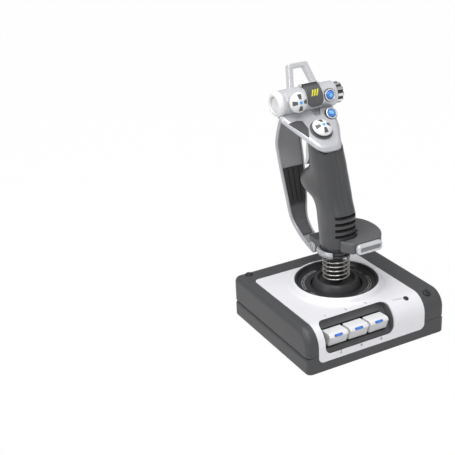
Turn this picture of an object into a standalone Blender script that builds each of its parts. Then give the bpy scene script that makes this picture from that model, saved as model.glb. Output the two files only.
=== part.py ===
"""Flight joystick: a desk base with a sprung, twisting stick, its hand guard and its controls.

Run with: blender --background --python part.py
The script works in millimetres and writes meshes in metres. +X is the user's right, +Y points away
from the user and +Z is up. The origin is the middle of the base's flat underside.
"""

import math

import bmesh
import bpy
from mathutils import Matrix, Vector

MM = 0.001
GAP = 0.3                        # clearance between pieces that touch
ROUND = 20                       # sides of a middling round piece

# Base
BASE_WIDTH = 176.0
BASE_DEPTH = 162.0
BASE_TOP = 49.7
BASE_SEAM = 20.0                 # height of the line between the two shells
BASE_WALL = 3.5
BASE_FLOOR = 3.0
CORNER_RADIUS = 6.0
EDGE_RADIUS = 7.0                # top edges at the sides and the back
FRONT_RADIUS = 20.0              # top edge at the front
FOOT_RADIUS = 8.0
FOOT_PROUD = 1.0
FOOT_INSET = 15.0                # from the base's sides to a foot's middle

# Silver top plate
PLATE_LEFT = -75.0
PLATE_RIGHT = 60.0
PLATE_BACK = 55.0
PLATE_BOTTOM = 12.0
PLATE_PROUD = 0.4
PLATE_SUNK = 1.5
PLATE_CORNER = 6.0

# Dish round the stick
DISH_RADIUS = 46.4
DISH_RIM = 56.0
DISH_FLOOR = 50.0
RING_FOOT_RADIUS = 53.5

# Rocker switches in the front edge
SWITCH_LEFT = -67.0
SWITCH_RIGHT = 20.0
SWITCH_WIDTH = 22.8
SWITCH_PITCH = 25.5
SWITCH_AXLE = (-68.5, 32.0)      # y and z
WINDOW_HEIGHT = 35.3             # along the slanted opening
BEZEL_BACK = -57.0
BEZEL_BOTTOM = 17.0
BOARD_BOTTOM = 8.0

# Stick pivot and spring
PIVOT_HEIGHT = 41.0
BALL_RADIUS = 28.5
CUP_TOP = 57.5
CUP_FLOOR = 53.0
SHAFT_RADIUS = 7.0
SHAFT_TOP = 112.0
SPRING_WIRE = 1.9
SPRING_RADIUS = 14.3
SPRING_TURNS = 5
SPRING_POINTS = 10               # points in a turn
COLLAR_BOTTOM = 87.0
COLLAR_TOP = 93.7
COLLAR_RADIUS = 17.0

# Grip
GRIP_BOTTOM = 94.0
GRIP_WALL = 2.5
GRIP_SIDES = 28
RIDGE_HEIGHT = 160.0
RIDGE_SPREAD = 10.0
RIDGE_SWELL = 0.22
PALM_POWER = 0.77                # below 1 makes the palm side squarer than an ellipse
SLOT_PITCH = 7.1
SLOT_HEIGHT = 3.9
SLOT_LOWEST = 115.4
SLOT_REACH = 13.0                # from the rear seam to a slot's end

# Head
BARREL_Y = 53.0
BARREL_Z = 251.0
BARREL_RADIUS = 14.0
BARREL_WALL = 2.5
BARREL_LEFT = -37.7
BARREL_RIGHT = 30.0
NECK_TIP = (0.0, -5.0, 206.0)
NECK_RISE = (0.0, 47.0, 33.0)    # direction up the neck plate
NECK_THICKNESS = 8.0
NECK_SEAT = 5.0                  # lowest part of the grip's seat, up the neck plate
HAT_RADIUS = 11.0
HAT_1_X = -22.5
HAT_1_TILT = 10.0                # degrees round the barrel, up from the user
HAT_2 = (-4.5, 31.6)             # x and distance up the neck plate
BUTTON_RADIUS = 4.6
BUTTON_A_X = 18.7
BUTTON_A_TILT = 13.0
BUTTON_B = (16.8, 48.4)
BUTTON_B_TILT = 18.0
BUTTON_B_LIFT = 2.0
COVER_HALF_WIDTH = 9.3
COVER_HINGE_TILT = 84.0
COVER_INSIDE = 15.4
COVER_OUTSIDE = 16.8
DIAL_RADIUS = 11.8
DIAL_LENGTH = 8.8

# Hand guard
GUARD_DEPTH = 6.0
GUARD_RIM = 2.0
GUARD_FLOOR = 3.0
GUARD_EYE = (36.0, 82.0)         # y and z of the lower fastening
GUARD_EYE_RADIUS = 6.5
GUARD_EYE_WIDTH = 18.0

# Trigger, pinkie lever and hand rest
TRIGGER_PIN = (37.0, 208.0)
TRIGGER_WIDTH = 15.0
PINKIE_PIN = (19.5, 135.0)
PINKIE_WIDTH = 10.0
REST_BOTTOM = 99.0
REST_TOP = 111.8
REST_CAP_HEIGHT = 104.0          # middle of the cap on its front edge
REST_FRONT = -36.0

# Colour, roughness and metallic value of each finish
FINISHES = {
    "charcoal": ((0.075, 0.077, 0.082), 0.55, 0.0),
    "dark": ((0.020, 0.020, 0.022), 0.45, 0.0),
    "silver": ((0.72, 0.72, 0.77), 0.35, 0.3),
    "plate": ((0.80, 0.80, 0.85), 0.30, 0.2),
    "grey": ((0.28, 0.28, 0.29), 0.50, 0.0),
    "white": ((0.85, 0.85, 0.85), 0.35, 0.0),
    "blue": ((0.010, 0.10, 0.70), 0.15, 0.0),
    "red": ((0.55, 0.03, 0.02), 0.30, 0.0),
    "steel": ((0.60, 0.57, 0.50), 0.25, 1.0),
    "rubber": ((0.015, 0.015, 0.015), 0.85, 0.0),
    "board": ((0.01, 0.12, 0.05), 0.50, 0.0),
}


# Shape helpers

def skin(rings, wrap=False):
    """Solid through closed rings of equal length, capped unless the rings close on themselves."""
    shape = bmesh.new()
    loops = [[shape.verts.new(point) for point in ring] for ring in rings]
    count = len(loops[0])
    pairs = list(zip(loops, loops[1:]))
    if wrap:
        pairs.append((loops[-1], loops[0]))
    for lower, upper in pairs:
        for i in range(count):
            k = (i + 1) % count
            shape.faces.new((lower[i], lower[k], upper[k], upper[i]))
    if not wrap:
        shape.faces.new(reversed(loops[0]))
        shape.faces.new(loops[-1])
    bmesh.ops.recalc_face_normals(shape, faces=shape.faces)
    return shape


def along_x(outline, start, end):
    """Outline of (y, z) points extruded along X."""
    return skin([[(x, y, z) for y, z in outline] for x in (start, end)])


def along_z(outline, start, end):
    """Outline of (x, y) points extruded along Z."""
    return skin([[(x, y, z) for x, y in outline] for z in (start, end)])


def block(low, high):
    """Box between two corners."""
    outline = [(low[0], low[1]), (high[0], low[1]), (high[0], high[1]), (low[0], high[1])]
    return along_z(outline, low[2], high[2])


def lathe(profile, sides=ROUND):
    """Solid turned about Z from (radius, height) points, closed flat at both ends."""
    turns = [math.tau * i / sides for i in range(sides)]
    return skin([[(r * math.cos(a), r * math.sin(a), z) for a in turns] for r, z in profile])


def lathe_ring(profile, sides=ROUND, start=0.0, sweep=360.0):
    """Ring, or part of one, turned about Z from a closed outline of (radius, height) points."""
    whole = sweep == 360.0
    steps = sides if whole else sides + 1
    turns = [math.radians(start + sweep * i / sides) for i in range(steps)]
    return skin([[(r * math.cos(a), r * math.sin(a), z) for r, z in profile] for a in turns], wrap=whole)


def rod(start, end, radius, sides=16):
    """Round bar between two points."""
    start = Vector(start)
    end = Vector(end)
    bar = lathe([(radius, 0.0), (radius, (end - start).length)], sides)
    bar.transform(frame(start, end - start))
    return bar


def frame(origin, up, side=(1.0, 0.0, 0.0)):
    """Matrix that carries local Z to up and local X as near to side as it can."""
    z = Vector(up).normalized()
    x = Vector(side)
    if abs(x.normalized().dot(z)) > 0.99:
        x = Vector((0.0, 0.0, 1.0))
    x = (x - z * x.dot(z)).normalized()
    matrix = Matrix((x, z.cross(x), z)).transposed().to_4x4()
    matrix.translation = Vector(origin)
    return matrix


def moved(shape, matrix):
    shape.transform(matrix)
    return shape


def rounded(corners, steps=4):
    """Outline whose corners (a, b, radius) are replaced by arcs."""
    points = []
    for i, (a, b, radius) in enumerate(corners):
        here = Vector((a, b))
        back = (Vector(corners[i - 1][:2]) - here).normalized()
        ahead = (Vector(corners[(i + 1) % len(corners)][:2]) - here).normalized()
        if radius == 0.0:
            points.append((a, b))
            continue
        half = back.angle(ahead) / 2
        centre = here + (back + ahead).normalized() * radius / math.sin(half)
        first = here + back * radius / math.tan(half) - centre
        last = here + ahead * radius / math.tan(half) - centre
        turn = first.angle_signed(last)
        for k in range(steps + 1):
            arm = first.copy()
            arm.rotate(Matrix.Rotation(-turn * k / steps, 2))
            points.append(tuple(centre + arm))
    return points


def smooth_path(points, steps):
    """Curve through rows of numbers, with equal steps in each span."""
    rows = [Vector(row) for row in points]
    rows = [rows[0] * 2 - rows[1]] + rows + [rows[-1] * 2 - rows[-2]]
    path = []
    for before, here, ahead, after in zip(rows, rows[1:], rows[2:], rows[3:]):
        for k in range(steps):
            t = k / steps
            bend = before * 2 - here * 5 + ahead * 4 - after
            twist = here * 3 - before - ahead * 3 + after
            path.append((here * 2 + (ahead - before) * t + bend * t ** 2 + twist * t ** 3) / 2)
    path.append(rows[-2])
    return path


# Object helpers

def pivot(name, place, parent=None):
    """Empty on a joint's axis, which carries the pieces that turn or slide there."""
    empty = bpy.data.objects.new(name, None)
    empty["place"] = place
    empty.empty_display_size = 10 * MM
    bpy.context.collection.objects.link(empty)
    attach(empty, parent)
    empty.location = Vector(place) * MM
    return empty


def attach(thing, parent):
    """Parent a thing whose coordinates stay those of the whole object."""
    if parent is not None:
        thing.parent = parent
        thing.matrix_parent_inverse = Matrix.Translation(Vector(parent["place"]) * -MM)


def finish(name, kind):
    """Material of one sub-part."""
    colour, roughness, metallic = FINISHES[kind]
    material = bpy.data.materials.new(name)
    material.use_nodes = True
    shader = material.node_tree.nodes["Principled BSDF"]
    shader.inputs["Base Color"].default_value = (*colour, 1.0)
    shader.inputs["Roughness"].default_value = roughness
    shader.inputs["Metallic"].default_value = metallic
    material.diffuse_color = (*colour, 1.0)
    return material


def loose(shape, name="tool"):
    """Object in metres made from a shape in millimetres."""
    bmesh.ops.scale(shape, vec=(MM, MM, MM), verts=shape.verts)
    mesh = bpy.data.meshes.new(name)
    shape.to_mesh(mesh)
    shape.free()
    thing = bpy.data.objects.new(name, mesh)
    bpy.context.collection.objects.link(thing)
    return thing


def combine(thing, shapes, operation):
    """Boolean of a thing with each shape in turn, applied to its mesh."""
    for shape in shapes:
        tool = loose(shape)
        modifier = thing.modifiers.new(operation, "BOOLEAN")
        modifier.operation = operation
        modifier.solver = "EXACT"
        modifier.object = tool
        graph = bpy.context.evaluated_depsgraph_get()
        mesh = bpy.data.meshes.new_from_object(thing.evaluated_get(graph))
        thing.modifiers.clear()
        old = thing.data
        thing.data = mesh
        mesh.name = thing.name
        bpy.data.meshes.remove(old)
        bpy.data.objects.remove(tool)


def piece(name, shape, kind, parent, add=(), cut=()):
    """Named sub-part: a shape, with others joined to it and then cut from it."""
    thing = loose(shape, name)
    thing.data.materials.append(finish(name, kind))
    combine(thing, add, "UNION")
    combine(thing, cut, "DIFFERENCE")
    attach(thing, parent)
    return thing


# Base

def base_inset(radius, offset, height):
    """How far a rounded top edge has drawn in at a height, on a skin offset inwards."""
    centre = BASE_TOP - radius
    if height <= centre:
        return offset
    return radius - math.sqrt(max((radius - offset) ** 2 - (height - centre) ** 2, 0.0))


def base_ring(offset, height):
    """Outline of the base at a height."""
    side = base_inset(EDGE_RADIUS, offset, height)
    front = base_inset(FRONT_RADIUS, offset, height) - BASE_DEPTH / 2
    half = BASE_WIDTH / 2 - side
    back = BASE_DEPTH / 2 - side
    bend = max(CORNER_RADIUS - side, 1.0)
    outline = rounded([(-half, front, bend), (half, front, bend), (half, back, bend), (-half, back, bend)], 3)
    return [(x, y, height) for x, y in outline]


def base_dome(offset, bottom):
    """Upper part of the base with its rounded top edges, offset inwards."""
    heights = [bottom]
    for angle in (0, 20, 37, 50, 62, 75, 90):
        rise = (FRONT_RADIUS - offset) * math.sin(math.radians(angle))
        heights.append(BASE_TOP - FRONT_RADIUS + rise)
    return skin([base_ring(offset, height) for height in heights])


def front_line(depth, back, bottom):
    """Line over the base's top and down its front, sunk by a depth, as (y, z) points."""
    radius = FRONT_RADIUS - depth
    centre_y = FRONT_RADIUS - BASE_DEPTH / 2
    centre_z = BASE_TOP - FRONT_RADIUS
    line = [(back, BASE_TOP - depth)]
    for step in range(7):
        angle = math.radians(15 * step)
        line.append((centre_y - radius * math.sin(angle), centre_z + radius * math.cos(angle)))
    line.append((depth - BASE_DEPTH / 2, bottom))
    return line


def plate_sheet(outer, inner, margin):
    """Sheet that follows the base between two depths, with rounded corners."""
    back = PLATE_BACK + margin
    bottom = PLATE_BOTTOM - margin
    outline = front_line(outer, back, bottom) + front_line(inner, back, bottom)[::-1]
    sheet = along_x(outline, PLATE_LEFT - margin, PLATE_RIGHT + margin)
    corners = []
    for edge in sheet.edges:
        a, b = (vertex.co for vertex in edge.verts)
        across = abs(a.x - b.x) < 0.01
        at_back = min(a.y, b.y) > back - 0.01
        at_bottom = max(a.z, b.z) < bottom + 0.01
        if across and (at_back or at_bottom):
            corners.append(edge)
    radius = PLATE_CORNER + margin
    bmesh.ops.bevel(sheet, geom=corners, offset=radius, segments=4, profile=0.5, affect="EDGES")
    return sheet


def window(depth, inset):
    """Slanted prism with round corners that opens the front edge for the switches."""
    half_width = (SWITCH_RIGHT - SWITCH_LEFT) / 2 - inset
    half_height = WINDOW_HEIGHT / 2 - inset
    outline = rounded([(-half_width, -half_height, 7.0), (half_width, -half_height, 7.0),
                       (half_width, half_height, 7.0), (-half_width, half_height, 7.0)])
    return moved(along_z(outline, depth, 16.0), window_frame())


def window_frame():
    """Frame in the middle of the chord between the window's top and bottom edges."""
    middle = ((SWITCH_LEFT + SWITCH_RIGHT) / 2, -71.5, 34.9)
    return frame(middle, (0.0, -0.842, 0.538))


def bezel_block(margin):
    """Block behind the switch window."""
    back = BEZEL_BACK + margin
    bottom = BEZEL_BOTTOM - margin
    outline = front_line(PLATE_SUNK + GAP - margin, back, bottom) + [(back, bottom)]
    return along_x(outline, SWITCH_LEFT - 3.0 - margin, SWITCH_RIGHT + 3.0 + margin)


def front_frame(x, y):
    """Frame on the base's surface, near its rounded front edge."""
    lean = max(FRONT_RADIUS - BASE_DEPTH / 2 - y, 0.0) / FRONT_RADIUS
    rise = math.sqrt(1.0 - lean ** 2)
    return frame((x, y, BASE_TOP - FRONT_RADIUS * (1.0 - rise)), (0.0, -lean, rise))


def make_base(root):
    feet = [(sx * (BASE_WIDTH / 2 - FOOT_INSET), sy * (BASE_DEPTH / 2 - FOOT_INSET))
            for sx in (-1, 1) for sy in (-1, 1)]
    socket = frame((-45.0, BASE_DEPTH / 2, 11.5), (0.0, 1.0, 0.0))

    cavity = skin([base_ring(BASE_WALL, BASE_FLOOR), base_ring(BASE_WALL, BASE_SEAM + 5.0)])
    foot_holes = [rod((x, y, -2.0), (x, y, 1.0), FOOT_RADIUS + GAP, ROUND) for x, y in feet]
    socket_hole = moved(lathe([(6.3, -9.0), (6.3, 5.0)], 16), socket)
    lower = skin([base_ring(1.5, 0.0), base_ring(0.0, 1.5), base_ring(0.0, BASE_SEAM - GAP / 2)])
    shell = piece("base_lower_shell", lower, "charcoal", root,
                  cut=[cavity, plate_sheet(-6.0, PLATE_SUNK + GAP, GAP), bezel_block(GAP), socket_hole]
                  + foot_holes)
    posts = [rod((x, y, 2.0), (x, y, BOARD_BOTTOM - GAP), 3.0, 12)
             for x in (-45.0, 45.0) for y in (34.0, 66.0)]
    combine(shell, posts, "UNION")

    plugs = {"rear_left": (-72.0, 72.0), "rear_right": (72.0, 72.0), "front_right": (71.0, -70.0)}
    plug_frames = {name: front_frame(x, y) for name, (x, y) in plugs.items()}
    plug_holes = [moved(lathe([(4.5, -12.0), (4.5, 5.0)], 16), place) for place in plug_frames.values()]
    opening = rod((0, 0, 30.0), (0, 0, 60.0), DISH_RADIUS + 2 * GAP, 36)
    piece("base_upper_shell", base_dome(0.0, BASE_SEAM + GAP / 2), "charcoal", root,
          cut=[base_dome(BASE_WALL, BASE_SEAM - 5.0), plate_sheet(-6.0, PLATE_SUNK + GAP, GAP),
               bezel_block(GAP), opening] + plug_holes)

    ring = lathe_ring([(DISH_RADIUS - 2.0, 48.6), (RING_FOOT_RADIUS, 48.6), (RING_FOOT_RADIUS, 50.0),
                       (52.2, 50.8), (49.4, 54.6), (48.0, DISH_RIM), (DISH_RADIUS - 2.0, DISH_RIM)], 40)
    ring_bore = rod((0, 0, 40.0), (0, 0, 60.0), DISH_RADIUS + GAP, 40)
    lens_place = front_frame(43.8, -68.9)
    lens_hole = moved(lathe([(3.2, -5.0), (3.2, 5.0)], 12), lens_place)
    piece("top_plate", plate_sheet(-PLATE_PROUD, PLATE_SUNK, 0.0), "plate", root,
          add=[ring], cut=[ring_bore, window(-14.0, 0.0), lens_hole])
    piece("status_lens", moved(lathe([(2.95, -1.2), (2.95, 0.4), (1.9, 0.85)], 12), lens_place), "dark", root)

    dish = lathe_ring([(DISH_RADIUS, 55.6), (44.6, 55.6), (43.4, 51.6), (41.8, DISH_FLOOR),
                       (28.9, DISH_FLOOR), (28.9, 48.0), (43.0, 48.0), (43.0, 44.2), (49.5, 44.2),
                       (49.5, 45.9), (DISH_RADIUS, 45.9)], 32)
    piece("stick_dish", dish, "dark", root)

    for i, (x, y) in enumerate(feet):
        pad = lathe([(FOOT_RADIUS - 0.6, -FOOT_PROUD), (FOOT_RADIUS, -FOOT_PROUD + 0.6), (FOOT_RADIUS, 0.7)])
        piece(f"foot_{i + 1}", moved(pad, Matrix.Translation((x, y, 0.0))), "rubber", root)
    for name, place in plug_frames.items():
        cap = lathe([(4.2, -3.0), (4.2, 0.9), (3.2, 1.5)], 16)
        piece(f"corner_plug_{name}", moved(cap, place), "dark", root)

    body = lathe([(6.0, -8.0), (6.0, GAP), (7.6, GAP), (7.6, 1.4), (6.8, 1.8)], 16)
    bore = lathe([(4.2, -6.5), (4.2, 5.0)], 16)
    piece("cable_socket", moved(body, socket), "dark", root, cut=[moved(bore, socket)])
    board = block((-52.0, 28.0, BOARD_BOTTOM), (52.0, 72.0, BOARD_BOTTOM + 1.6))
    piece("circuit_board", board, "board", root)

    ear = [(-5.5, 15.0), (5.5, 15.0)] + [(5.5 * math.cos(a), PIVOT_HEIGHT + 5.5 * math.sin(a))
                                        for a in (math.pi * k / 8 for k in range(9))]
    flange = lathe([(24.0, BASE_FLOOR + GAP), (24.0, 6.3)])
    column = block((-17.0, -8.0, 5.0), (17.0, 8.0, 22.0))
    hole = rod((-30.0, 0, PIVOT_HEIGHT), (30.0, 0, PIVOT_HEIGHT), 2.8 + GAP, 16)
    piece("gimbal_post", flange, "grey", root,
          add=[column, along_x(ear, -17.0, -12.0), along_x(ear, 12.0, 17.0)], cut=[hole])


def make_switches(root):
    place = window_frame()
    slot = moved(block((-38.6, -12.0, -14.0), (38.6, 8.7, 5.0)), place)
    y, z = SWITCH_AXLE
    axle_hole = rod((SWITCH_LEFT - 1.6, y, z), (SWITCH_RIGHT + 1.6, y, z), 1.8, 12)
    piece("switch_bezel", bezel_block(0.0), "charcoal", root, cut=[window(-6.0, 0.0), slot, axle_hole])
    axle = rod((SWITCH_LEFT - 1.3, y, z), (SWITCH_RIGHT + 1.3, y, z), 1.5, 12)
    piece("switch_axle", axle, "steel", root)

    outline = [(-63.5, 38.9), (-75.5, 39.9), (-78.6, 39.4), (-80.6, 36.6), (-79.2, 34.8), (-75.8, 25.2),
               (-67.0, 25.2), (-63.5, 30.0)]
    middle = (SWITCH_LEFT + SWITCH_RIGHT) / 2
    for i in range(3):
        x = middle + (i - 1) * SWITCH_PITCH
        turn = pivot(f"rocker_{i + 1}_axis", (x, y, z), root)
        hole = rod((x - 20.0, y, z), (x + 20.0, y, z), 1.5 + GAP, 12)
        seat = frame((x - 0.8, -79.6, 38.0), (0.0, -0.814, 0.581))
        pocket = moved(block((-4.9, -1.5, -0.8), (4.9, 1.5, 3.0)), seat)
        lamp = moved(block((-4.6, -1.2, -0.5), (4.6, 1.2, 0.4)), seat)
        half = SWITCH_WIDTH / 2
        piece(f"rocker_{i + 1}", along_x(outline, x - half, x + half), "white", turn, cut=[hole, pocket])
        piece(f"rocker_lamp_{i + 1}", lamp, "blue", turn)


# Stick pivot, spring and collar

def ball_point(radius, elevation):
    """Point of the ball's section, as radius from the stick's axis and height."""
    angle = math.radians(elevation)
    return radius * math.cos(angle), PIVOT_HEIGHT + radius * math.sin(angle)


def spring_points():
    """Centre line of the return spring: a helix whose ends stand square on the cup and the collar."""
    low = CUP_FLOOR + GAP
    high = COLLAR_BOTTOM - GAP
    bend = 1.2 * SPRING_WIRE
    ease = []
    for k in range(4):
        angle = math.radians(30 * k)
        ease.append((bend * (1.0 - math.cos(angle)) / SPRING_RADIUS, SPRING_WIRE + bend * math.sin(angle)))
    turn = SPRING_TURNS * math.tau
    rows = [(0.0, low)] + [(a, low + z) for a, z in ease]
    first_angle, first_height = rows[-1]
    last_angle, last_height = turn - ease[-1][0], high - ease[-1][1]
    steps = SPRING_TURNS * SPRING_POINTS - 1
    for k in range(1, steps):
        t = k / steps
        angle = first_angle + (last_angle - first_angle) * t
        rows.append((angle, first_height + (last_height - first_height) * t))
    rows += [(turn - a, high - z) for a, z in reversed(ease)] + [(turn, high)]
    return [Vector((SPRING_RADIUS * math.cos(a), SPRING_RADIUS * math.sin(a), z)) for a, z in rows]


def least_gap(points, diameter, apart):
    """Smallest clear distance between stretches of a tube that are a number of points apart."""
    least = min((a - b).length for i, a in enumerate(points) for b in points[i + apart:])
    return least - diameter


def make_spring(parent):
    points = spring_points()
    curve = bpy.data.curves.new("return_spring", "CURVE")
    curve.dimensions = "3D"
    curve.bevel_depth = SPRING_WIRE / 2 * MM
    curve.bevel_resolution = 1
    curve.use_fill_caps = True
    line = curve.splines.new("POLY")
    line.points.add(len(points) - 1)
    for knot, point in zip(line.points, points):
        knot.co = (*(point * MM), 1.0)
    curve.materials.append(finish("return_spring", "steel"))
    spring = bpy.data.objects.new("return_spring", curve)
    bpy.context.collection.objects.link(spring)
    attach(spring, parent)
    print(f"return_spring: least gap to itself {least_gap(points, SPRING_WIRE, SPRING_POINTS // 2):.2f} mm")


def make_stick(root):
    place = (0.0, 0.0, PIVOT_HEIGHT)
    pitch = pivot("stick_pitch_axis", place, root)
    roll = pivot("stick_roll_axis", place, pitch)
    low = PIVOT_HEIGHT - 5.0
    high = PIVOT_HEIGHT + 5.0
    pins = [rod((-17.3, 0, PIVOT_HEIGHT), (17.3, 0, PIVOT_HEIGHT), 2.8),
            rod((0, -17.3, PIVOT_HEIGHT), (0, 17.3, PIVOT_HEIGHT), 2.8)]
    piece("gimbal_cross", block((-5.0, -5.0, low), (5.0, 5.0, high)), "steel", pitch, add=pins)

    yoke_top = PIVOT_HEIGHT + 9.7
    yoke = block((-5.5, -17.0, PIVOT_HEIGHT + 7.0), (5.5, 17.0, yoke_top))
    ears = [block((-5.5, y - 2.5, PIVOT_HEIGHT - 5.5), (5.5, y + 2.5, yoke_top - 1.0)) for y in (-14.5, 14.5)]
    stem = rod((0, 0, yoke_top - 1.0), (0, 0, SHAFT_TOP), SHAFT_RADIUS, 20)
    hole = rod((0, -30.0, PIVOT_HEIGHT), (0, 30.0, PIVOT_HEIGHT), 2.8 + GAP)
    piece("stick_shaft", yoke, "dark", roll, add=ears + [stem], cut=[hole])

    inner = BALL_RADIUS - 2.5
    bore = SHAFT_RADIUS + GAP
    under = CUP_FLOOR - 2.0
    rim = math.degrees(math.asin((CUP_TOP - PIVOT_HEIGHT) / BALL_RADIUS))
    shell = [ball_point(BALL_RADIUS, angle) for angle in (-12, 0, 12, 24, rim)]
    lining = [ball_point(inner, angle) for angle in (22.6, 10, 0, -13)]
    cup = shell + [(21.0, CUP_TOP), (18.8, CUP_FLOOR), (bore, CUP_FLOOR), (bore, under)] + lining
    piece("ball_cup", lathe_ring(cup, 28), "dark", roll)
    make_spring(roll)
    return roll


def make_collar(twist):
    bore = SHAFT_RADIUS + GAP
    groove = COLLAR_RADIUS - 1.8
    low = COLLAR_BOTTOM
    collar = [(bore, low), (COLLAR_RADIUS - 1.0, low), (COLLAR_RADIUS, low + 1.0),
              (COLLAR_RADIUS, low + 2.5), (groove, low + 2.5), (groove, low + 5.5),
              (COLLAR_RADIUS, low + 5.5), (COLLAR_RADIUS, COLLAR_TOP), (bore, COLLAR_TOP)]
    piece("grip_collar", lathe_ring(collar), "charcoal", twist)
    lock = pivot("twist_lock_axis", (0.0, 0.0, low + 4.0), twist)
    outside = COLLAR_RADIUS + 0.4
    tab = [(groove + 0.4, low + 2.8), (groove + 0.4, low + 5.2), (outside, low + 5.2), (outside, low + 6.4),
           (19.2, low + 6.9), (19.2, low + 8.4), (20.6, low + 8.4), (21.9, low + 5.0), (20.8, low + 1.4),
           (outside, low + 1.4), (outside, low + 2.8)]
    piece("twist_lock", lathe_ring(tab, 10, 152.0, 74.0), "silver", lock)


# Grip

GRIP_ROWS = (                    # height, middle y, half width, depth to the front, depth to the rear
    (GRIP_BOTTOM, 0.0, 15.6, 16.5, 15.8),
    (98.0, -0.5, 16.8, 18.2, 17.8),
    (103.0, -1.0, 18.0, 20.0, 20.6),
    (125.0, -1.0, 18.0, 26.0, 21.0),
    (136.0, -1.0, 18.0, 29.0, 21.0),
    (145.0, 1.5, 18.0, 31.0, 19.5),
    (151.0, 3.4, 18.0, 37.0, 18.7),
    (156.0, 5.0, 18.5, 52.0, 18.3),
    (162.0, 6.8, 18.5, 54.0, 18.0),
    (170.0, 9.0, 18.3, 47.0, 18.0),
    (180.0, 12.0, 18.0, 31.0, 18.0),
    (190.0, 15.0, 18.0, 25.0, 17.8),
    (205.0, 19.5, 17.3, 22.0, 17.3),
    (222.0, 24.6, 16.6, 22.0, 17.0),
    (240.0, 30.0, 17.0, 22.0, 16.0),
)

GRIP_FOOT = ((4.0, 96.0), (18.2, 95.2), (19.5, 90.0), (23.5, 82.0), (29.0, 79.5), (36.0, 80.0), (42.0, 89.0),
             (44.0, 94.8), (25.0, 95.2), (21.0, 99.0), (4.0, 110.0))


def palm_point(half_width, depth, angle):
    """Point on the grip's section: an ellipse towards the front, squarer on the palm side."""
    power = 1.0 if math.sin(angle) > 0 else PALM_POWER
    across = math.copysign(abs(math.cos(angle)) ** power, math.cos(angle))
    along = math.copysign(abs(math.sin(angle)) ** power, math.sin(angle))
    return half_width * across, depth * along


def grip_ring(row, inset):
    """Section of the grip at one height, drawn in by a wall's thickness."""
    height, middle, half_width, front, rear = row
    ring = []
    for i in range(GRIP_SIDES):
        angle = math.tau * i / GRIP_SIDES
        depth = front if math.sin(angle) > 0 else rear
        x, y = palm_point(half_width - inset, depth - inset, angle)
        closeness = math.exp(-((height - RIDGE_HEIGHT) / RIDGE_SPREAD) ** 2)
        swell = RIDGE_SWELL * closeness * max(math.sin(angle) + 0.4, 0.0)
        ring.append((x * (1.0 + swell), middle + y, height))
    return ring


def neck_frame(x=0.0, up=0.0):
    """Frame on the neck plate: X across, Y up the plate and Z out of it."""
    rise = Vector(NECK_RISE).normalized()
    place = frame(NECK_TIP, (0.0, -rise.z, rise.y))
    return place @ Matrix.Translation((x, up, 0.0))


def button_b_frame():
    """Frame of button B, lifted off the neck plate and turned towards the user."""
    lift = Matrix.Translation((0.0, 0.0, BUTTON_B_LIFT))
    return neck_frame(*BUTTON_B) @ lift @ Matrix.Rotation(math.radians(BUTTON_B_TILT), 4, "X")


def barrel_frame():
    """Frame on the barrel's axis, with local Z along +X."""
    return frame((0.0, BARREL_Y, BARREL_Z), (1.0, 0.0, 0.0))


def barrel_spoke(x, tilt):
    """Frame on the barrel's axis, with local Z out of the barrel, tilted up from the user."""
    angle = math.radians(tilt)
    return frame((x, BARREL_Y, BARREL_Z), (0.0, -math.cos(angle), math.sin(angle)))


def barrel_core():
    """Space that the barrel takes, with a clearance."""
    return moved(lathe([(BARREL_RADIUS + GAP, -80.0), (BARREL_RADIUS + GAP, 80.0)], 28), barrel_frame())


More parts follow.
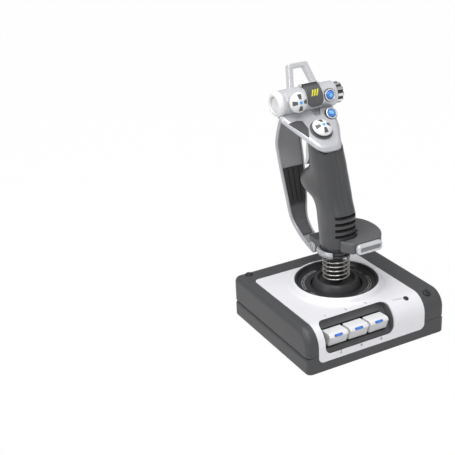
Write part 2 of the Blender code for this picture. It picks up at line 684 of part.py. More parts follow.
def make_grip(twist):
    outside = [grip_ring(row, 0.0) for row in GRIP_ROWS]
    inside = [grip_ring(row, GRIP_WALL) for row in GRIP_ROWS]
    drop = [(x, y, GRIP_BOTTOM - 5.0) for x, y, z in inside[0]]
    lift = [(x, y, z + 10.0) for x, y, z in inside[-1]]
    eye_y, eye_z = GUARD_EYE
    trigger_y, trigger_z = TRIGGER_PIN
    pinkie_y, pinkie_z = PINKIE_PIN
    half_trigger = TRIGGER_WIDTH / 2 + 0.5
    half_pinkie = PINKIE_WIDTH / 2 + 0.5
    for side, name in ((-1, "grip_left_half"), (1, "grip_right_half")):
        foot = along_x(GRIP_FOOT, -8.0, 8.0)
        other = sorted((-side * 60.0, side * GAP / 2))
        cuts = [
            skin([drop] + inside + [lift]),
            block((other[0], -80.0, 0.0), (other[1], 120.0, 300.0)),
            rod((-20.0, eye_y, eye_z), (20.0, eye_y, eye_z), GUARD_EYE_RADIUS + 2 * GAP, 20),
            moved(block((-80.0, NECK_SEAT, -NECK_THICKNESS - GAP), (80.0, 120.0, 80.0)), neck_frame()),
            barrel_core(),
            block((-half_trigger, 26.0, 172.0), (half_trigger, 80.0, 216.0)),
            block((-half_pinkie, 12.0, 103.0), (half_pinkie, 60.0, 140.0)),
            rod((-10.5, trigger_y, trigger_z), (10.5, trigger_y, trigger_z), 1.8, 12),
        ]
        reach = sorted((0.0, side * SLOT_REACH))
        for k in range(4):
            z = SLOT_LOWEST + k * SLOT_PITCH - SLOT_HEIGHT / 2
            cuts.append(block((reach[0], -40.0, z), (reach[1], -12.0, z + SLOT_HEIGHT)))
        piece(name, skin(outside), "charcoal", twist, add=[foot], cut=cuts)

    pull = pivot("trigger_axis", (0.0, trigger_y, trigger_z), twist)
    lever = [(33.0, 207.0), (34.5, 211.5), (38.0, 212.6), (43.5, 210.0), (47.0, 203.5), (48.0, 195.0),
             (48.0, 187.0), (51.0, 179.0), (50.0, 176.8), (46.5, 178.5), (42.0, 186.0), (40.0, 194.0),
             (36.0, 202.0)]
    hole = rod((-20.0, trigger_y, trigger_z), (20.0, trigger_y, trigger_z), 1.8, 12)
    half = TRIGGER_WIDTH / 2
    piece("trigger", along_x(lever, -half, half), "silver", pull, cut=[hole])
    pin = rod((-10.2, trigger_y, trigger_z), (10.2, trigger_y, trigger_z), 1.5, 12)
    piece("trigger_pin", pin, "steel", twist)

    squeeze = pivot("pinkie_axis", (0.0, pinkie_y, pinkie_z), twist)
    lever = [(16.5, 134.0), (18.5, 138.0), (22.5, 138.2), (28.5, 134.5), (30.5, 128.0), (29.0, 117.0),
             (27.5, 108.5), (25.0, 106.5), (22.5, 109.0), (21.5, 118.0), (19.5, 128.0)]
    half = PINKIE_WIDTH / 2
    trunnion = rod((-7.6, pinkie_y, pinkie_z), (7.6, pinkie_y, pinkie_z), 1.5, 12)
    piece("pinkie_lever", along_x(lever, -half, half), "silver", squeeze, add=[trunnion])


def grown(outline, amount):
    """Outline moved outwards by an amount, point by point."""
    points = []
    for i, (a, b) in enumerate(outline):
        back = Vector(outline[i - 1])
        ahead = Vector(outline[(i + 1) % len(outline)])
        along = (ahead - back).normalized()
        points.append((a + along.y * amount, b - along.x * amount))
    return points


def make_hand_rest(twist):
    slide = pivot("hand_rest_axis", (0.0, -24.0, REST_BOTTOM), twist)
    edge = rounded([(-9.5, -24.0, 0.0), (-2.0, REST_FRONT, 2.0), (33.0, REST_FRONT, 10.0),
                    (44.0, -24.0, 30.0), (48.5, -9.0, 45.0), (48.0, 11.0, 32.0), (37.0, 28.0, 14.0),
                    (21.5, 27.0, 3.0), (18.9, 5.0, 0.0)], 3)
    cradle = []
    for k in range(9):
        x, y = palm_point(18.9, 21.9, math.radians(-15.0 * k))
        cradle.append((x, y - 1.0))
    outline = edge + cradle[:-1]
    rings = []
    for z, shrink in ((REST_BOTTOM, -0.8), (REST_BOTTOM + 1.2, 0.0), (REST_TOP - 2.0, 0.0), (REST_TOP, -1.4)):
        rings.append([(x, y, z) for x, y in grown(outline, shrink)])
    piece("hand_rest", skin(rings), "charcoal", slide)

    place = frame((17.4, REST_FRONT - GAP, REST_CAP_HEIGHT), (0.0, -1.0, 0.0))
    face = rounded([(-16.0, -5.7, 4.0), (16.0, -5.7, 4.0), (16.0, 5.7, 4.0), (-16.0, 5.7, 4.0)], 3)
    rings = []
    for depth, shrink in ((0.0, 0.0), (3.2, 0.0), (4.3, -1.4)):
        rings.append([(x, y, depth) for x, y in grown(face, shrink)])
    slot = rounded([(-12.5, -2.4, 1.5), (13.5, -2.4, 1.5), (13.5, 2.4, 1.5), (-12.5, 2.4, 1.5)], 2)
    recess = along_z(slot, 3.3, 8.0)
    piece("hand_rest_cap", moved(skin(rings), place), "silver", slide, cut=[moved(recess, place)])


# Head

def hat_cap(under, stem_bottom):
    """Thumb hat: a domed disc on a stem, along local Z."""
    return lathe([(3.2, stem_bottom), (3.2, under), (HAT_RADIUS - 0.5, under), (HAT_RADIUS, under + 0.5),
                  (HAT_RADIUS, under + 1.6), (HAT_RADIUS - 0.8, under + 2.7), (7.5, under + 4.6),
                  (4.0, under + 6.0), (1.5, under + 6.4)])


def hat_ring(height):
    """Gimbal ring round a hat's stem, with its two trunnions."""
    outline = [(4.3, height - 1.0), (5.5, height - 1.0), (5.5, height + 1.0), (4.3, height + 1.0)]
    ring = lathe_ring(outline, 20)
    pins = [rod((side * 5.1, 0, height), (side * 7.2, 0, height), 0.8, 8) for side in (-1, 1)]
    return ring, pins


def make_hat(name, place, under, pivot_height, twist):
    """Hat that rocks on two crossed axes through its gimbal ring."""
    centre = place @ Vector((0.0, 0.0, pivot_height))
    sideways = pivot(f"{name}_up_axis", tuple(centre), twist)
    upward = pivot(f"{name}_side_axis", tuple(centre), sideways)
    ring, trunnions = hat_ring(pivot_height)
    piece(f"{name}_gimbal_ring", moved(ring, place), "dark", sideways,
          add=[moved(pin, place) for pin in trunnions])
    piece(f"{name}_cap", moved(hat_cap(under, pivot_height - 2.0), place), "white", upward)


def make_button(name, place, low, high, radius, kind, twist):
    """Round push button with a domed top, sliding along local Z."""
    slide = pivot(f"{name}_axis", tuple(place @ Vector((0.0, 0.0, high))), twist)
    knob = lathe([(radius, low), (radius, high), (radius * 0.75, high + 0.7), (radius * 0.3, high + 1.0)], 20)
    piece(name, moved(knob, place), kind, slide)


def make_neck(twist):
    face = rounded([(-42.0, 67.0, 0.0), (-40.0, 53.8, 6.0), (-15.3, 5.2, 17.0), (9.6, 5.2, 11.0),
                    (22.0, 38.5, 25.0), (27.5, 67.0, 0.0)])
    back = rounded([(-38.2, 65.2, 0.0), (-35.6, 53.2, 6.0), (-11.3, 5.6, 15.0), (10.8, 5.6, 11.0),
                    (24.8, 36.5, 25.0), (30.3, 65.2, 0.0)])
    rings = [[(x, y, -NECK_THICKNESS) for x, y in back]]
    for height, shrink in ((-3.0, 0.0), (-1.0, -0.6), (0.0, -2.2)):
        rings.append([(x, y, height) for x, y in grown(face, shrink)])
    panel = ((-35.8, 48.4, 0.4), (-22.4, 25.2, 0.6), (-17.4, 36.8, 1.5), (-19.0, 48.2, 1.5),
             (-26.0, 49.6, 1.5))
    recess = rounded(panel, 2)
    ring = [(BUTTON_RADIUS, -4.5), (6.5, -4.5), (6.5, 0.6), (6.0, 1.0), (BUTTON_RADIUS, 1.0)]
    cuts = [
        barrel_core(),
        moved(along_z(recess, -3.2, 6.0), neck_frame()),
        moved(lathe([(5.8, -20.0), (5.8, 20.0)], 20), neck_frame(*HAT_2)),
        moved(lathe([(8.2, -20.0), (8.2, -2.6)], 20), neck_frame(*HAT_2)),
        moved(lathe([(BUTTON_RADIUS + GAP, -20.0), (BUTTON_RADIUS + GAP, 20.0)], 20), button_b_frame()),
    ]
    piece("neck_plate", moved(skin(rings), neck_frame()), "silver", twist,
          add=[moved(lathe_ring(ring, 20), button_b_frame())], cut=cuts)
    inlay = along_z(grown(recess, -GAP), -2.9, -0.5)
    piece("neck_recess_panel", moved(inlay, neck_frame()), "dark", twist)
    skirt = lathe_ring([(6.6, GAP), (12.8, GAP), (12.4, 0.9), (6.6, 0.9)])
    piece("hat_2_bezel", moved(skirt, neck_frame(*HAT_2)), "dark", twist)
    make_hat("hat_2", neck_frame(*HAT_2), 3.2, -5.5, twist)
    make_button("button_b", button_b_frame(), -6.0, 0.8, BUTTON_RADIUS, "blue", twist)


def make_barrel(twist):
    inner = BARREL_RADIUS - BARREL_WALL
    tube = [(BARREL_RADIUS, BARREL_LEFT), (BARREL_RADIUS, BARREL_RIGHT), (5.4, BARREL_RIGHT),
            (5.4, BARREL_RIGHT - 2.5), (inner, BARREL_RIGHT - 2.5), (inner, BARREL_LEFT)]
    hat_place = barrel_spoke(HAT_1_X, HAT_1_TILT)
    button_place = barrel_spoke(BUTTON_A_X, BUTTON_A_TILT)
    launch_place = barrel_spoke(0.0, 30.0)
    hinge_place = barrel_spoke(0.0, COVER_HINGE_TILT)
    hinge_out = BARREL_RADIUS + 1.2
    lugs = []
    for side in (-1, 1):
        x = sorted((side * (COVER_HALF_WIDTH + 0.5), side * (COVER_HALF_WIDTH + 3.0)))
        lugs.append(moved(block((x[0], -2.3, inner + 1.0), (x[1], 2.3, hinge_out + 1.8)), hinge_place))
    bezel = lathe_ring([(BUTTON_RADIUS, inner + 1.0), (6.5, inner + 1.0), (6.5, 14.8), (6.0, 15.2),
                        (BUTTON_RADIUS, 15.2)], 20)
    pin_place = hinge_place @ Vector((0.0, 0.0, hinge_out))
    pin_ends = [pin_place + Vector((side * (COVER_HALF_WIDTH + 2.7), 0.0, 0.0)) for side in (-1, 1)]
    notch = Vector((COVER_HALF_WIDTH + 0.4, 0.0, 0.0))
    cuts = [
        rod(pin_place - notch, pin_place + notch, 2.3, 14),
        moved(lathe([(5.8, 5.0), (5.8, 30.0)], 20), hat_place),
        moved(lathe([(BUTTON_RADIUS + GAP, 5.0), (BUTTON_RADIUS + GAP, 30.0)], 20), button_place),
        moved(lathe([(4.2 + GAP, 5.0), (4.2 + GAP, 16.0)], 20), launch_place),
        rod(pin_ends[0] - Vector((5.0, 0.0, 0.0)), pin_ends[1] + Vector((5.0, 0.0, 0.0)), 0.8 + GAP, 12),
    ]
    piece("head_barrel", moved(lathe_ring(tube, 28), barrel_frame()), "silver", twist,
          add=lugs + [moved(bezel, button_place)], cut=cuts)
    make_hat("hat_1", hat_place, BARREL_RADIUS + 2.4, BARREL_RADIUS - 6.0, twist)
    make_button("button_a", button_place, inner - 1.5, 15.0, BUTTON_RADIUS, "blue", twist)
    make_button("launch_button", launch_place, inner - 1.5, 14.0, 4.2, "red", twist)

    end = BARREL_LEFT - GAP
    cap = [(BARREL_RADIUS, end), (BARREL_RADIUS, end - 1.2), (13.3, end - 3.2), (11.6, end - 4.8),
           (9.4, end - 5.2), (8.5, end - 4.2), (8.5, end)]
    piece("barrel_end_cap", moved(lathe_ring(cap, 28), barrel_frame()), "white", twist)
    press = pivot("button_c_axis", (end, BARREL_Y, BARREL_Z), twist)
    knob = lathe([(8.2, end + 3.0), (8.2, end - 2.6), (7.2, end - 3.4), (3.0, end - 3.0)], 24)
    piece("button_c", moved(knob, barrel_frame()), "white", press)

    hinge = pivot("safety_cover_axis", tuple(pin_place), twist)
    wall = [(COVER_INSIDE, -COVER_HALF_WIDTH), (COVER_OUTSIDE, -COVER_HALF_WIDTH),
            (COVER_OUTSIDE, COVER_HALF_WIDTH), (COVER_INSIDE, COVER_HALF_WIDTH)]
    flap = moved(lathe_ring(wall, 10, 90.0 - COVER_HINGE_TILT + 3.0, 101.0), barrel_frame())
    half = Vector((COVER_HALF_WIDTH, 0.0, 0.0))
    eye = rod(pin_place - half, pin_place + half, 1.8, 14)
    bore = rod(pin_place - half * 2, pin_place + half * 2, 0.8 + GAP, 12)
    piece("safety_cover", flap, "dark", hinge, add=[eye], cut=[bore])
    piece("cover_pin", rod(pin_ends[0], pin_ends[1], 0.8, 12), "steel", twist)

    turn = pivot("mode_dial_axis", (BARREL_RIGHT, BARREL_Y, BARREL_Z), twist)
    near = BARREL_RIGHT + GAP
    rings = []
    far = near + DIAL_LENGTH
    for x, scale in ((near, 0.93), (near + 0.8, 1.0), (far - 1.2, 1.0), (far, 0.9)):
        ring = []
        for i in range(40):
            radius = scale * (DIAL_RADIUS if i % 4 < 2 else DIAL_RADIUS - 1.0)
            ring.append((radius * math.cos(math.tau * i / 40), radius * math.sin(math.tau * i / 40), x))
        rings.append(ring)
    hub = lathe([(5.0, BARREL_RIGHT - 6.0), (5.0, near + 2.0)], 16)
    piece("mode_dial", moved(skin(rings), barrel_frame()), "dark", turn, add=[moved(hub, barrel_frame())])


def make_loop(twist):
    """Bent bar that stands up behind the barrel."""
    place = frame((0.0, 65.0, 261.0), (0.0, -0.887, 0.463))
    bar = rounded([(-20.0, -8.0, 0.0), (-14.0, -8.0, 0.0), (-7.0, 21.0, 1.5), (7.0, 21.0, 1.5),
                   (14.0, -8.0, 0.0), (20.0, -8.0, 0.0), (11.8, 26.2, 3.0), (-11.8, 26.2, 3.0)])
    piece("top_loop", moved(along_z(bar, -4.0, 4.0), place), "silver", twist, cut=[barrel_core()])


# Hand guard

GUARD_ROWS = (                   # y and z of the outer face, half width
    (62.0, 247.0, 14.0),
    (80.0, 234.0, 16.0),
    (90.0, 220.5, 16.5),
    (97.0, 204.0, 16.5),
    (100.3, 189.0, 16.5),
    (96.6, 172.0, 16.2),
    (92.8, 156.0, 15.5),
    (88.6, 139.0, 14.5),
    (85.2, 122.0, 13.0),
    (83.2, 109.0, 11.6),
    (79.6, 99.3, 10.6),
    (73.5, 92.5, 9.8),
    (66.0, 86.6, 9.2),
    (57.0, 81.8, 9.0),
    (47.5, 78.3, 9.0),
    (39.0, 76.3, 9.0),
)
PAD_TOP = 222.0
PAD_SPLIT = 160.0                # where the upper pad meets the lower one
PAD_RIB_END = 118.0
PAD_BOTTOM = 84.0
PAD_THICKNESS = 1.2
PAD_RIB = 1.2


def guard_stations():
    """Places along the guard: y and z of the outer face, the direction inwards and the half width."""
    path = smooth_path(GUARD_ROWS, 2)
    stations = []
    for i, row in enumerate(path):
        ahead = path[min(i + 1, len(path) - 1)]
        back = path[max(i - 1, 0)]
        along = Vector((ahead.x - back.x, ahead.y - back.y)).normalized()
        stations.append(Vector((row.x, row.y, along.y, -along.x, row.z)))
    return stations


def guard_span(stations, high, low):
    """Stations between two heights, with one more on the guard's chord at each end."""
    span = []
    for here, ahead in zip(stations, stations[1:]):
        if low < here[1] < high:
            span.append(here)
        for height in (high, low):
            if here[1] > height >= ahead[1]:
                span.append(here.lerp(ahead, (here[1] - height) / (here[1] - ahead[1])))
    return span


def guard_ring(station, section):
    """Section of (x, depth) points set across the guard's path."""
    y, z, inward_y, inward_z, _ = station
    return [(x, y + inward_y * depth, z + inward_z * depth) for x, depth in section]


def make_guard(twist):
    stations = guard_stations()
    rings = []
    for station in stations:
        half = station[4]
        lip = half - GUARD_RIM
        section = [(-half, 1.6), (-half + 1.8, 0.0), (half - 1.8, 0.0), (half, 1.6), (half, GUARD_DEPTH),
                   (lip, GUARD_DEPTH), (lip, GUARD_FLOOR), (-lip, GUARD_FLOOR), (-lip, GUARD_DEPTH),
                   (-half, GUARD_DEPTH)]
        rings.append(guard_ring(station, section))
    y, z = GUARD_EYE
    half_eye = GUARD_EYE_WIDTH / 2
    eye = rod((-half_eye, y, z), (half_eye, y, z), GUARD_EYE_RADIUS, 20)
    hole = rod((-20.0, y, z), (20.0, y, z), 2.3, 12)
    sink = rod((-20.0, y, z), (-half_eye + 1.6, y, z), 3.8, 16)
    piece("hand_guard", skin(rings), "silver", twist, add=[eye], cut=[barrel_core(), hole, sink])
    head = rod((-half_eye + GAP, y, z), (-half_eye + 1.3, y, z), 3.5, 16)
    shank = rod((-half_eye + 0.9, y, z), (half_eye - 1.0, y, z), 2.0, 12)
    piece("guard_screw", head, "dark", twist, add=[shank])

    floor = GUARD_FLOOR + GAP
    for name, kind, high, low, ribs in (("guard_upper_pad", "grey", PAD_TOP, PAD_SPLIT + GAP, 0),
                                        ("guard_lower_pad", "dark", PAD_SPLIT - GAP, PAD_BOTTOM, 4)):
        rings = []
        for station in guard_span(stations, high, low):
            half = station[4] - GUARD_RIM - GAP
            rise = PAD_RIB if station[1] > PAD_RIB_END else 0.0
            section = [(-half, floor), (half, floor), (half, floor + PAD_THICKNESS)]
            for k in range(2 * ribs - 1):
                x = half - half * (k + 1) / ribs
                section.append((x, floor + PAD_THICKNESS + (0.0 if k % 2 else rise)))
            section.append((-half, floor + PAD_THICKNESS))
            rings.append(guard_ring(station, section))
        piece(name, skin(rings), kind, twist)


def main():
    for thing in list(bpy.data.objects):
        bpy.data.objects.remove(thing)
    root = pivot("joystick", (0.0, 0.0, 0.0))
    make_base(root)
    make_switches(root)
    roll = make_stick(root)
    twist = pivot("twist_axis", (0.0, 0.0, COLLAR_BOTTOM), roll)
    make_collar(twist)
    make_grip(twist)
    make_hand_rest(twist)
    make_neck(twist)
    make_barrel(twist)
    make_loop(twist)
    make_guard(twist)
    for thing in bpy.data.objects:
        if thing.type == "MESH":
            thing.data.shade_smooth()
            thing.data.set_sharp_from_angle(angle=math.radians(35))


main()
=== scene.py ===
import math

import bmesh
import bpy
from mathutils import Matrix, Vector


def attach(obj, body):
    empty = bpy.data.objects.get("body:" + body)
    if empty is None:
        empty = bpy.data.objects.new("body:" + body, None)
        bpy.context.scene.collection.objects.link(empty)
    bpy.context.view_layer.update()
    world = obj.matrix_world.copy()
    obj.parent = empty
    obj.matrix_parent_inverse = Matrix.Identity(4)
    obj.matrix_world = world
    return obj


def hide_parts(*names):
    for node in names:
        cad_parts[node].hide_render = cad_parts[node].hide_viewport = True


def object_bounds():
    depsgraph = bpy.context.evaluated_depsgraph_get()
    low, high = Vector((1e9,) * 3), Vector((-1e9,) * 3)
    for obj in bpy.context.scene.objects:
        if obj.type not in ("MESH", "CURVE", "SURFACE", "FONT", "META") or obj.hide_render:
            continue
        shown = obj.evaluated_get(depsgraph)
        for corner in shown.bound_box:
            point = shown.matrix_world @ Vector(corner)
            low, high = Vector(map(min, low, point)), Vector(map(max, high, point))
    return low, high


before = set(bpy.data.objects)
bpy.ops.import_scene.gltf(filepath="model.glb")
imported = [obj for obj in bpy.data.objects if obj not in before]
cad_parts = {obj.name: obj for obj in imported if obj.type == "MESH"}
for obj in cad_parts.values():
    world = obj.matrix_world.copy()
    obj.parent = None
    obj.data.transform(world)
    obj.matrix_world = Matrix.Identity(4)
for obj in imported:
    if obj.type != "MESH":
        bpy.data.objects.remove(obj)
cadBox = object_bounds()
mm = 0.001          # the sizes below are in millimetres
hair = 0.3          # clearance between neighbours

alongX = Matrix(((0, 0, 1, 0), (1, 0, 0, 0), (0, 1, 0, 0), (0, 0, 0, 1)))   # an outline of y and z, drawn out along x


# picking and placing

def clearPicks():
    if bpy.context.object and bpy.context.object.mode == "EDIT":
        bpy.ops.object.mode_set(mode="OBJECT")
    bpy.ops.object.select_all(action="DESELECT")


def pickUp(thing):
    clearPicks()
    thing.select_set(True)
    bpy.context.view_layer.objects.active = thing


def openMesh(thing, everything=False):
    pickUp(thing)
    bpy.ops.object.mode_set(mode="EDIT")
    bpy.ops.mesh.select_mode(type="EDGE")
    bpy.ops.mesh.select_all(action="SELECT" if everything else "DESELECT")


def closeMesh():
    bpy.ops.object.mode_set(mode="OBJECT")


def pickEdges(thing, test):         # edges by the places of their two ends, in millimetres
    bpy.ops.mesh.select_mode(type="EDGE")
    bpy.ops.mesh.select_all(action="DESELECT")
    live = bmesh.from_edit_mesh(thing.data)
    for edge in live.edges:
        if test(edge.verts[0].co / mm, edge.verts[1].co / mm):
            edge.select_set(True)
    bmesh.update_edit_mesh(thing.data)


def bevelPicked(width, steps):
    bpy.ops.mesh.bevel(offset=width * mm, segments=steps, profile=0.5, affect="EDGES", clamp_overlap=True)


def settle(thing, place):           # puts the piece in its place and its place in the mesh
    thing.matrix_world = place @ thing.matrix_world
    pickUp(thing)
    bpy.ops.object.transform_apply(location=True, rotation=True, scale=True)
    return thing


def standAt(origin, up, side=(1, 0, 0)):     # local z to up, local x as near to side as it goes
    z = Vector(up).normalized()
    x = Vector(side)
    if abs(x.normalized().dot(z)) > 0.99:
        x = Vector((0, 0, 1))
    x = (x - z * x.dot(z)).normalized()
    place = Matrix((x, z.cross(x), z)).transposed().to_4x4()
    place.translation = Vector(origin) * mm
    return place


def lifted(place, x, y, z=0):
    return place @ Matrix.Translation(Vector((x, y, z)) * mm)


# shapes

def roundOff(corners, steps=6):     # corners of x, y and radius
    points = []
    for i, (a, b, radius) in enumerate(corners):
        here = Vector((a, b))
        if not radius:
            points.append((a, b))
            continue
        back = (Vector(corners[i - 1][:2]) - here).normalized()
        ahead = (Vector(corners[(i + 1) % len(corners)][:2]) - here).normalized()
        half = back.angle(ahead) / 2
        middle = here + (back + ahead).normalized() * radius / math.sin(half)
        first = here + back * radius / math.tan(half) - middle
        turn = first.angle_signed(here + ahead * radius / math.tan(half) - middle)
        for k in range(steps + 1):
            arm = first.copy()
            arm.rotate(Matrix.Rotation(-turn * k / steps, 2))
            points.append(tuple(middle + arm))
    return points


def roundBox(left, low, right, high, radius, steps=6):
    return roundOff([(left, low, radius), (right, low, radius), (right, high, radius), (left, high, radius)],
                    steps)


def grown(outline, amount):
    points = []
    for i, (a, b) in enumerate(outline):
        along = (Vector(outline[(i + 1) % len(outline)]) - Vector(outline[i - 1])).normalized()
        points.append((a + along.y * amount, b - along.x * amount))
    return points


def smoothRows(rows, steps):        # a curve through rows of numbers
    rows = [Vector(row) for row in rows]
    rows = [rows[0] * 2 - rows[1]] + rows + [rows[-1] * 2 - rows[-2]]
    path = []
    for before, here, ahead, after in zip(rows, rows[1:], rows[2:], rows[3:]):
        for k in range(steps):
            t = k / steps
            path.append((here * 2 + (ahead - before) * t + (before * 2 - here * 5 + ahead * 4 - after) * t ** 2
                         + (here * 3 - before - ahead * 3 + after) * t ** 3) / 2)
    path.append(rows[-2])
    return path


def turned(name, profile, place=Matrix(), sides=64, ring=False):    # profile of radius and height
    clearPicks()
    radius, height = profile[0]
    bpy.ops.mesh.primitive_circle_add(vertices=sides, radius=radius * mm, location=(0, 0, height * mm),
                                      fill_type="NOTHING" if ring else "NGON")
    thing = bpy.context.object
    thing.name = name
    settle(thing, Matrix())
    openMesh(thing, True)
    path = list(profile[1:]) + ([profile[0]] if ring else [])
    for (oldRadius, oldHeight), (newRadius, newHeight) in zip(profile, path):
        bpy.ops.mesh.extrude_region_move(TRANSFORM_OT_translate={"value": (0, 0, (newHeight - oldHeight) * mm)})
        scale = newRadius / oldRadius
        bpy.ops.transform.resize(value=(scale, scale, 1), center_override=(0, 0, newHeight * mm))
    bpy.ops.mesh.select_all(action="SELECT")
    if ring:
        bpy.ops.mesh.remove_doubles(threshold=0.000001)
    bpy.ops.mesh.normals_make_consistent(inside=False)
    closeMesh()
    return settle(thing, place)


def prism(name, outline, low, high, place=Matrix(), rim=0.0, steps=3):
    clearPicks()
    bpy.ops.mesh.primitive_circle_add(vertices=len(outline), radius=mm, fill_type="NGON")
    thing = bpy.context.object
    thing.name = name
    for vertex, (a, b) in zip(thing.data.vertices, outline):
        vertex.co = Vector((a, b, low)) * mm
    openMesh(thing, True)
    bpy.ops.mesh.extrude_region_move(TRANSFORM_OT_translate={"value": (0, 0, (high - low) * mm)})
    bpy.ops.mesh.select_all(action="SELECT")
    bpy.ops.mesh.normals_make_consistent(inside=False)
    if rim:
        pickEdges(thing, lambda a, b: abs(a.z - b.z) < 0.001)
        bevelPicked(rim, steps)
    closeMesh()
    return settle(thing, place)


def rod(name, start, end, radius, sides=32):
    start, end = Vector(start), Vector(end)
    return turned(name, [(radius, 0), (radius, (end - start).length)], standAt(start, end - start), sides)


def skinned(name, rings, wrap=False):        # for forms whose section changes along a curve
    count = len(rings[0])
    points = [Vector(point) * mm for ring in rings for point in ring]
    faces = []
    for k in range(len(rings) if wrap else len(rings) - 1):
        low, high = k * count, (k + 1) % len(rings) * count
        faces += [(low + i, low + (i + 1) % count, high + (i + 1) % count, high + i) for i in range(count)]
    if not wrap:
        faces += [tuple(range(count))[::-1], tuple(range(len(points) - count, len(points)))]
    mesh = bpy.data.meshes.new(name)
    mesh.from_pydata(points, [], faces)
    thing = bpy.data.objects.new(name, mesh)
    bpy.context.collection.objects.link(thing)
    openMesh(thing, True)
    bpy.ops.mesh.normals_make_consistent(inside=False)
    closeMesh()
    return thing


def cutAway(thing, *tools, operation="DIFFERENCE"):
    for tool in tools:
        pickUp(thing)
        modifier = thing.modifiers.new("cut", "BOOLEAN")
        modifier.operation = operation
        modifier.solver = "EXACT"
        modifier.object = tool
        bpy.ops.object.modifier_apply(modifier="cut")
        bpy.data.objects.remove(tool)
    return thing


def joinTo(thing, *others):
    return cutAway(thing, *others, operation="UNION")


def gather(name, things):           # separate bodies in one piece
    clearPicks()
    for thing in things:
        thing.select_set(True)
    bpy.context.view_layer.objects.active = things[0]
    bpy.ops.object.join()
    things[0].name = name
    return things[0]


def soften(thing, width, steps=2, angle=38):
    pickUp(thing)
    modifier = thing.modifiers.new("soften", "BEVEL")
    modifier.width = width * mm
    modifier.segments = steps
    modifier.limit_method = "ANGLE"
    modifier.angle_limit = math.radians(angle)
    modifier.use_clamp_overlap = True
    bpy.ops.object.modifier_apply(modifier="soften")
    return thing


def handOver(thing, body, slotName, finish, *nodes, angle=35):
    openMesh(thing, True)
    bpy.ops.mesh.remove_doubles(threshold=0.0000005)
    bpy.ops.mesh.normals_make_consistent(inside=False)
    closeMesh()
    bpy.ops.object.shade_smooth_by_angle(angle=math.radians(angle))
    modifier = thing.modifiers.new("evenShade", "WEIGHTED_NORMAL")
    modifier.keep_sharp = True
    bpy.ops.object.modifier_apply(modifier="evenShade")
    thing.data.materials.clear()
    thing.data.materials.append(finish)
    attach(thing, body)
    if nodes:
        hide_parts(*nodes)
    return thing


# finishes

class Wire:
    def __init__(self, tree, socket=None):
        self.tree = tree
        self.socket = socket

    def node(self, kind, settings, values, output=0):
        new = self.tree.nodes.new(kind)
        for key, value in settings.items():
            if key == "stops":
                for stop, (position, colour) in zip(new.color_ramp.elements, value):
                    stop.position = position
                    stop.color = colour
            else:
                setattr(new, key, value)
        for key, value in values.items():
            if isinstance(value, Wire):
                self.tree.links.new(value.socket, new.inputs[key])
            else:
                new.inputs[key].default_value = value
        return Wire(self.tree, new.outputs[output])

    def maths(self, operation, first, second=0.0):
        return self.node("ShaderNodeMath", {"operation": operation}, {0: first, 1: second})

    def __add__(self, other):
        return self.maths("ADD", self, other)

    def __radd__(self, other):
        return self.maths("ADD", other, self)

    def __sub__(self, other):
        return self.maths("SUBTRACT", self, other)

    def __rsub__(self, other):
        return self.maths("SUBTRACT", other, self)

    def __mul__(self, other):
        return self.maths("MULTIPLY", self, other)

    def __rmul__(self, other):
        return self.maths("MULTIPLY", other, self)

    def __truediv__(self, other):
        return self.maths("DIVIDE", self, other)

    def __rtruediv__(self, other):
        return self.maths("DIVIDE", other, self)

    def __gt__(self, other):
        return self.maths("GREATER_THAN", self, other)

    def __lt__(self, other):
        return self.maths("LESS_THAN", self, other)


class Finish:
    def __init__(self, name, roughness=0.5, metallic=0.0, coat=0.0, coatRoughness=0.1, ior=1.46, emission=0.0):
        self.material = bpy.data.materials.new(name)
        self.material.use_nodes = True
        self.tree = self.material.node_tree
        self.shader = self.tree.nodes["Principled BSDF"]
        self.start = Wire(self.tree)
        self.place = self.start.node("ShaderNodeTexCoord", {}, {}, "Object")
        for socket, value in (("Roughness", roughness), ("Metallic", metallic), ("Coat Weight", coat),
                              ("Coat Roughness", coatRoughness), ("IOR", ior), ("Emission Strength", emission)):
            self.shader.inputs[socket].default_value = value

    def feed(self, socket, wire):
        self.tree.links.new(wire.socket, self.shader.inputs[socket])

    def noise(self, scale, detail=2.0, place=None, roughness=0.5):
        return self.start.node("ShaderNodeTexNoise", {}, {"Vector": place or self.place, "Scale": scale,
                                                          "Detail": detail, "Roughness": roughness})

    def turnedPlace(self, matrix):      # the coordinates in a piece's own frame
        back = matrix.inverted()
        return self.start.node("ShaderNodeMapping", {}, {"Vector": self.place, "Location": back.translation,
                                                         "Rotation": back.to_euler()})

    def axes(self, place=None):
        split = self.start.node("ShaderNodeSeparateXYZ", {}, {"Vector": place or self.place})
        outputs = split.socket.node.outputs
        return [Wire(self.tree, outputs[i]) for i in range(3)]

    def blend(self, factor, first, second):
        values = {0: factor}
        for key, colour in ((6, first), (7, second)):
            values[key] = colour if isinstance(colour, Wire) else (*colour, 1.0)
        return self.start.node("ShaderNodeMix", {"data_type": "RGBA"}, values, 2)

    def grain(self, height, depth, strength=1.0):
        self.feed("Normal", self.start.node("ShaderNodeBump", {}, {"Height": height, "Distance": depth * mm,
                                                                   "Strength": strength}))


def shade(colour, factor):
    return tuple(value * factor for value in colour)


def mouldedPlastic(name, colour, roughness=0.5, spread=0.1, grain=0.03, fine=2600, coat=0.0):
    look = Finish(name, roughness, coat=coat, coatRoughness=0.25)
    cloud = look.noise(70, 3)
    speck = look.noise(900, 2)
    fineGrain = look.noise(fine, 2)
    mix = cloud * 0.6 + speck * 0.4
    look.feed("Base Color", look.blend(mix, shade(colour, 1 - spread), shade(colour, 1 + spread)))
    look.feed("Roughness", roughness - 0.08 + speck * 0.16)
    look.grain(fineGrain + speck * 0.6, grain)
    return look.material


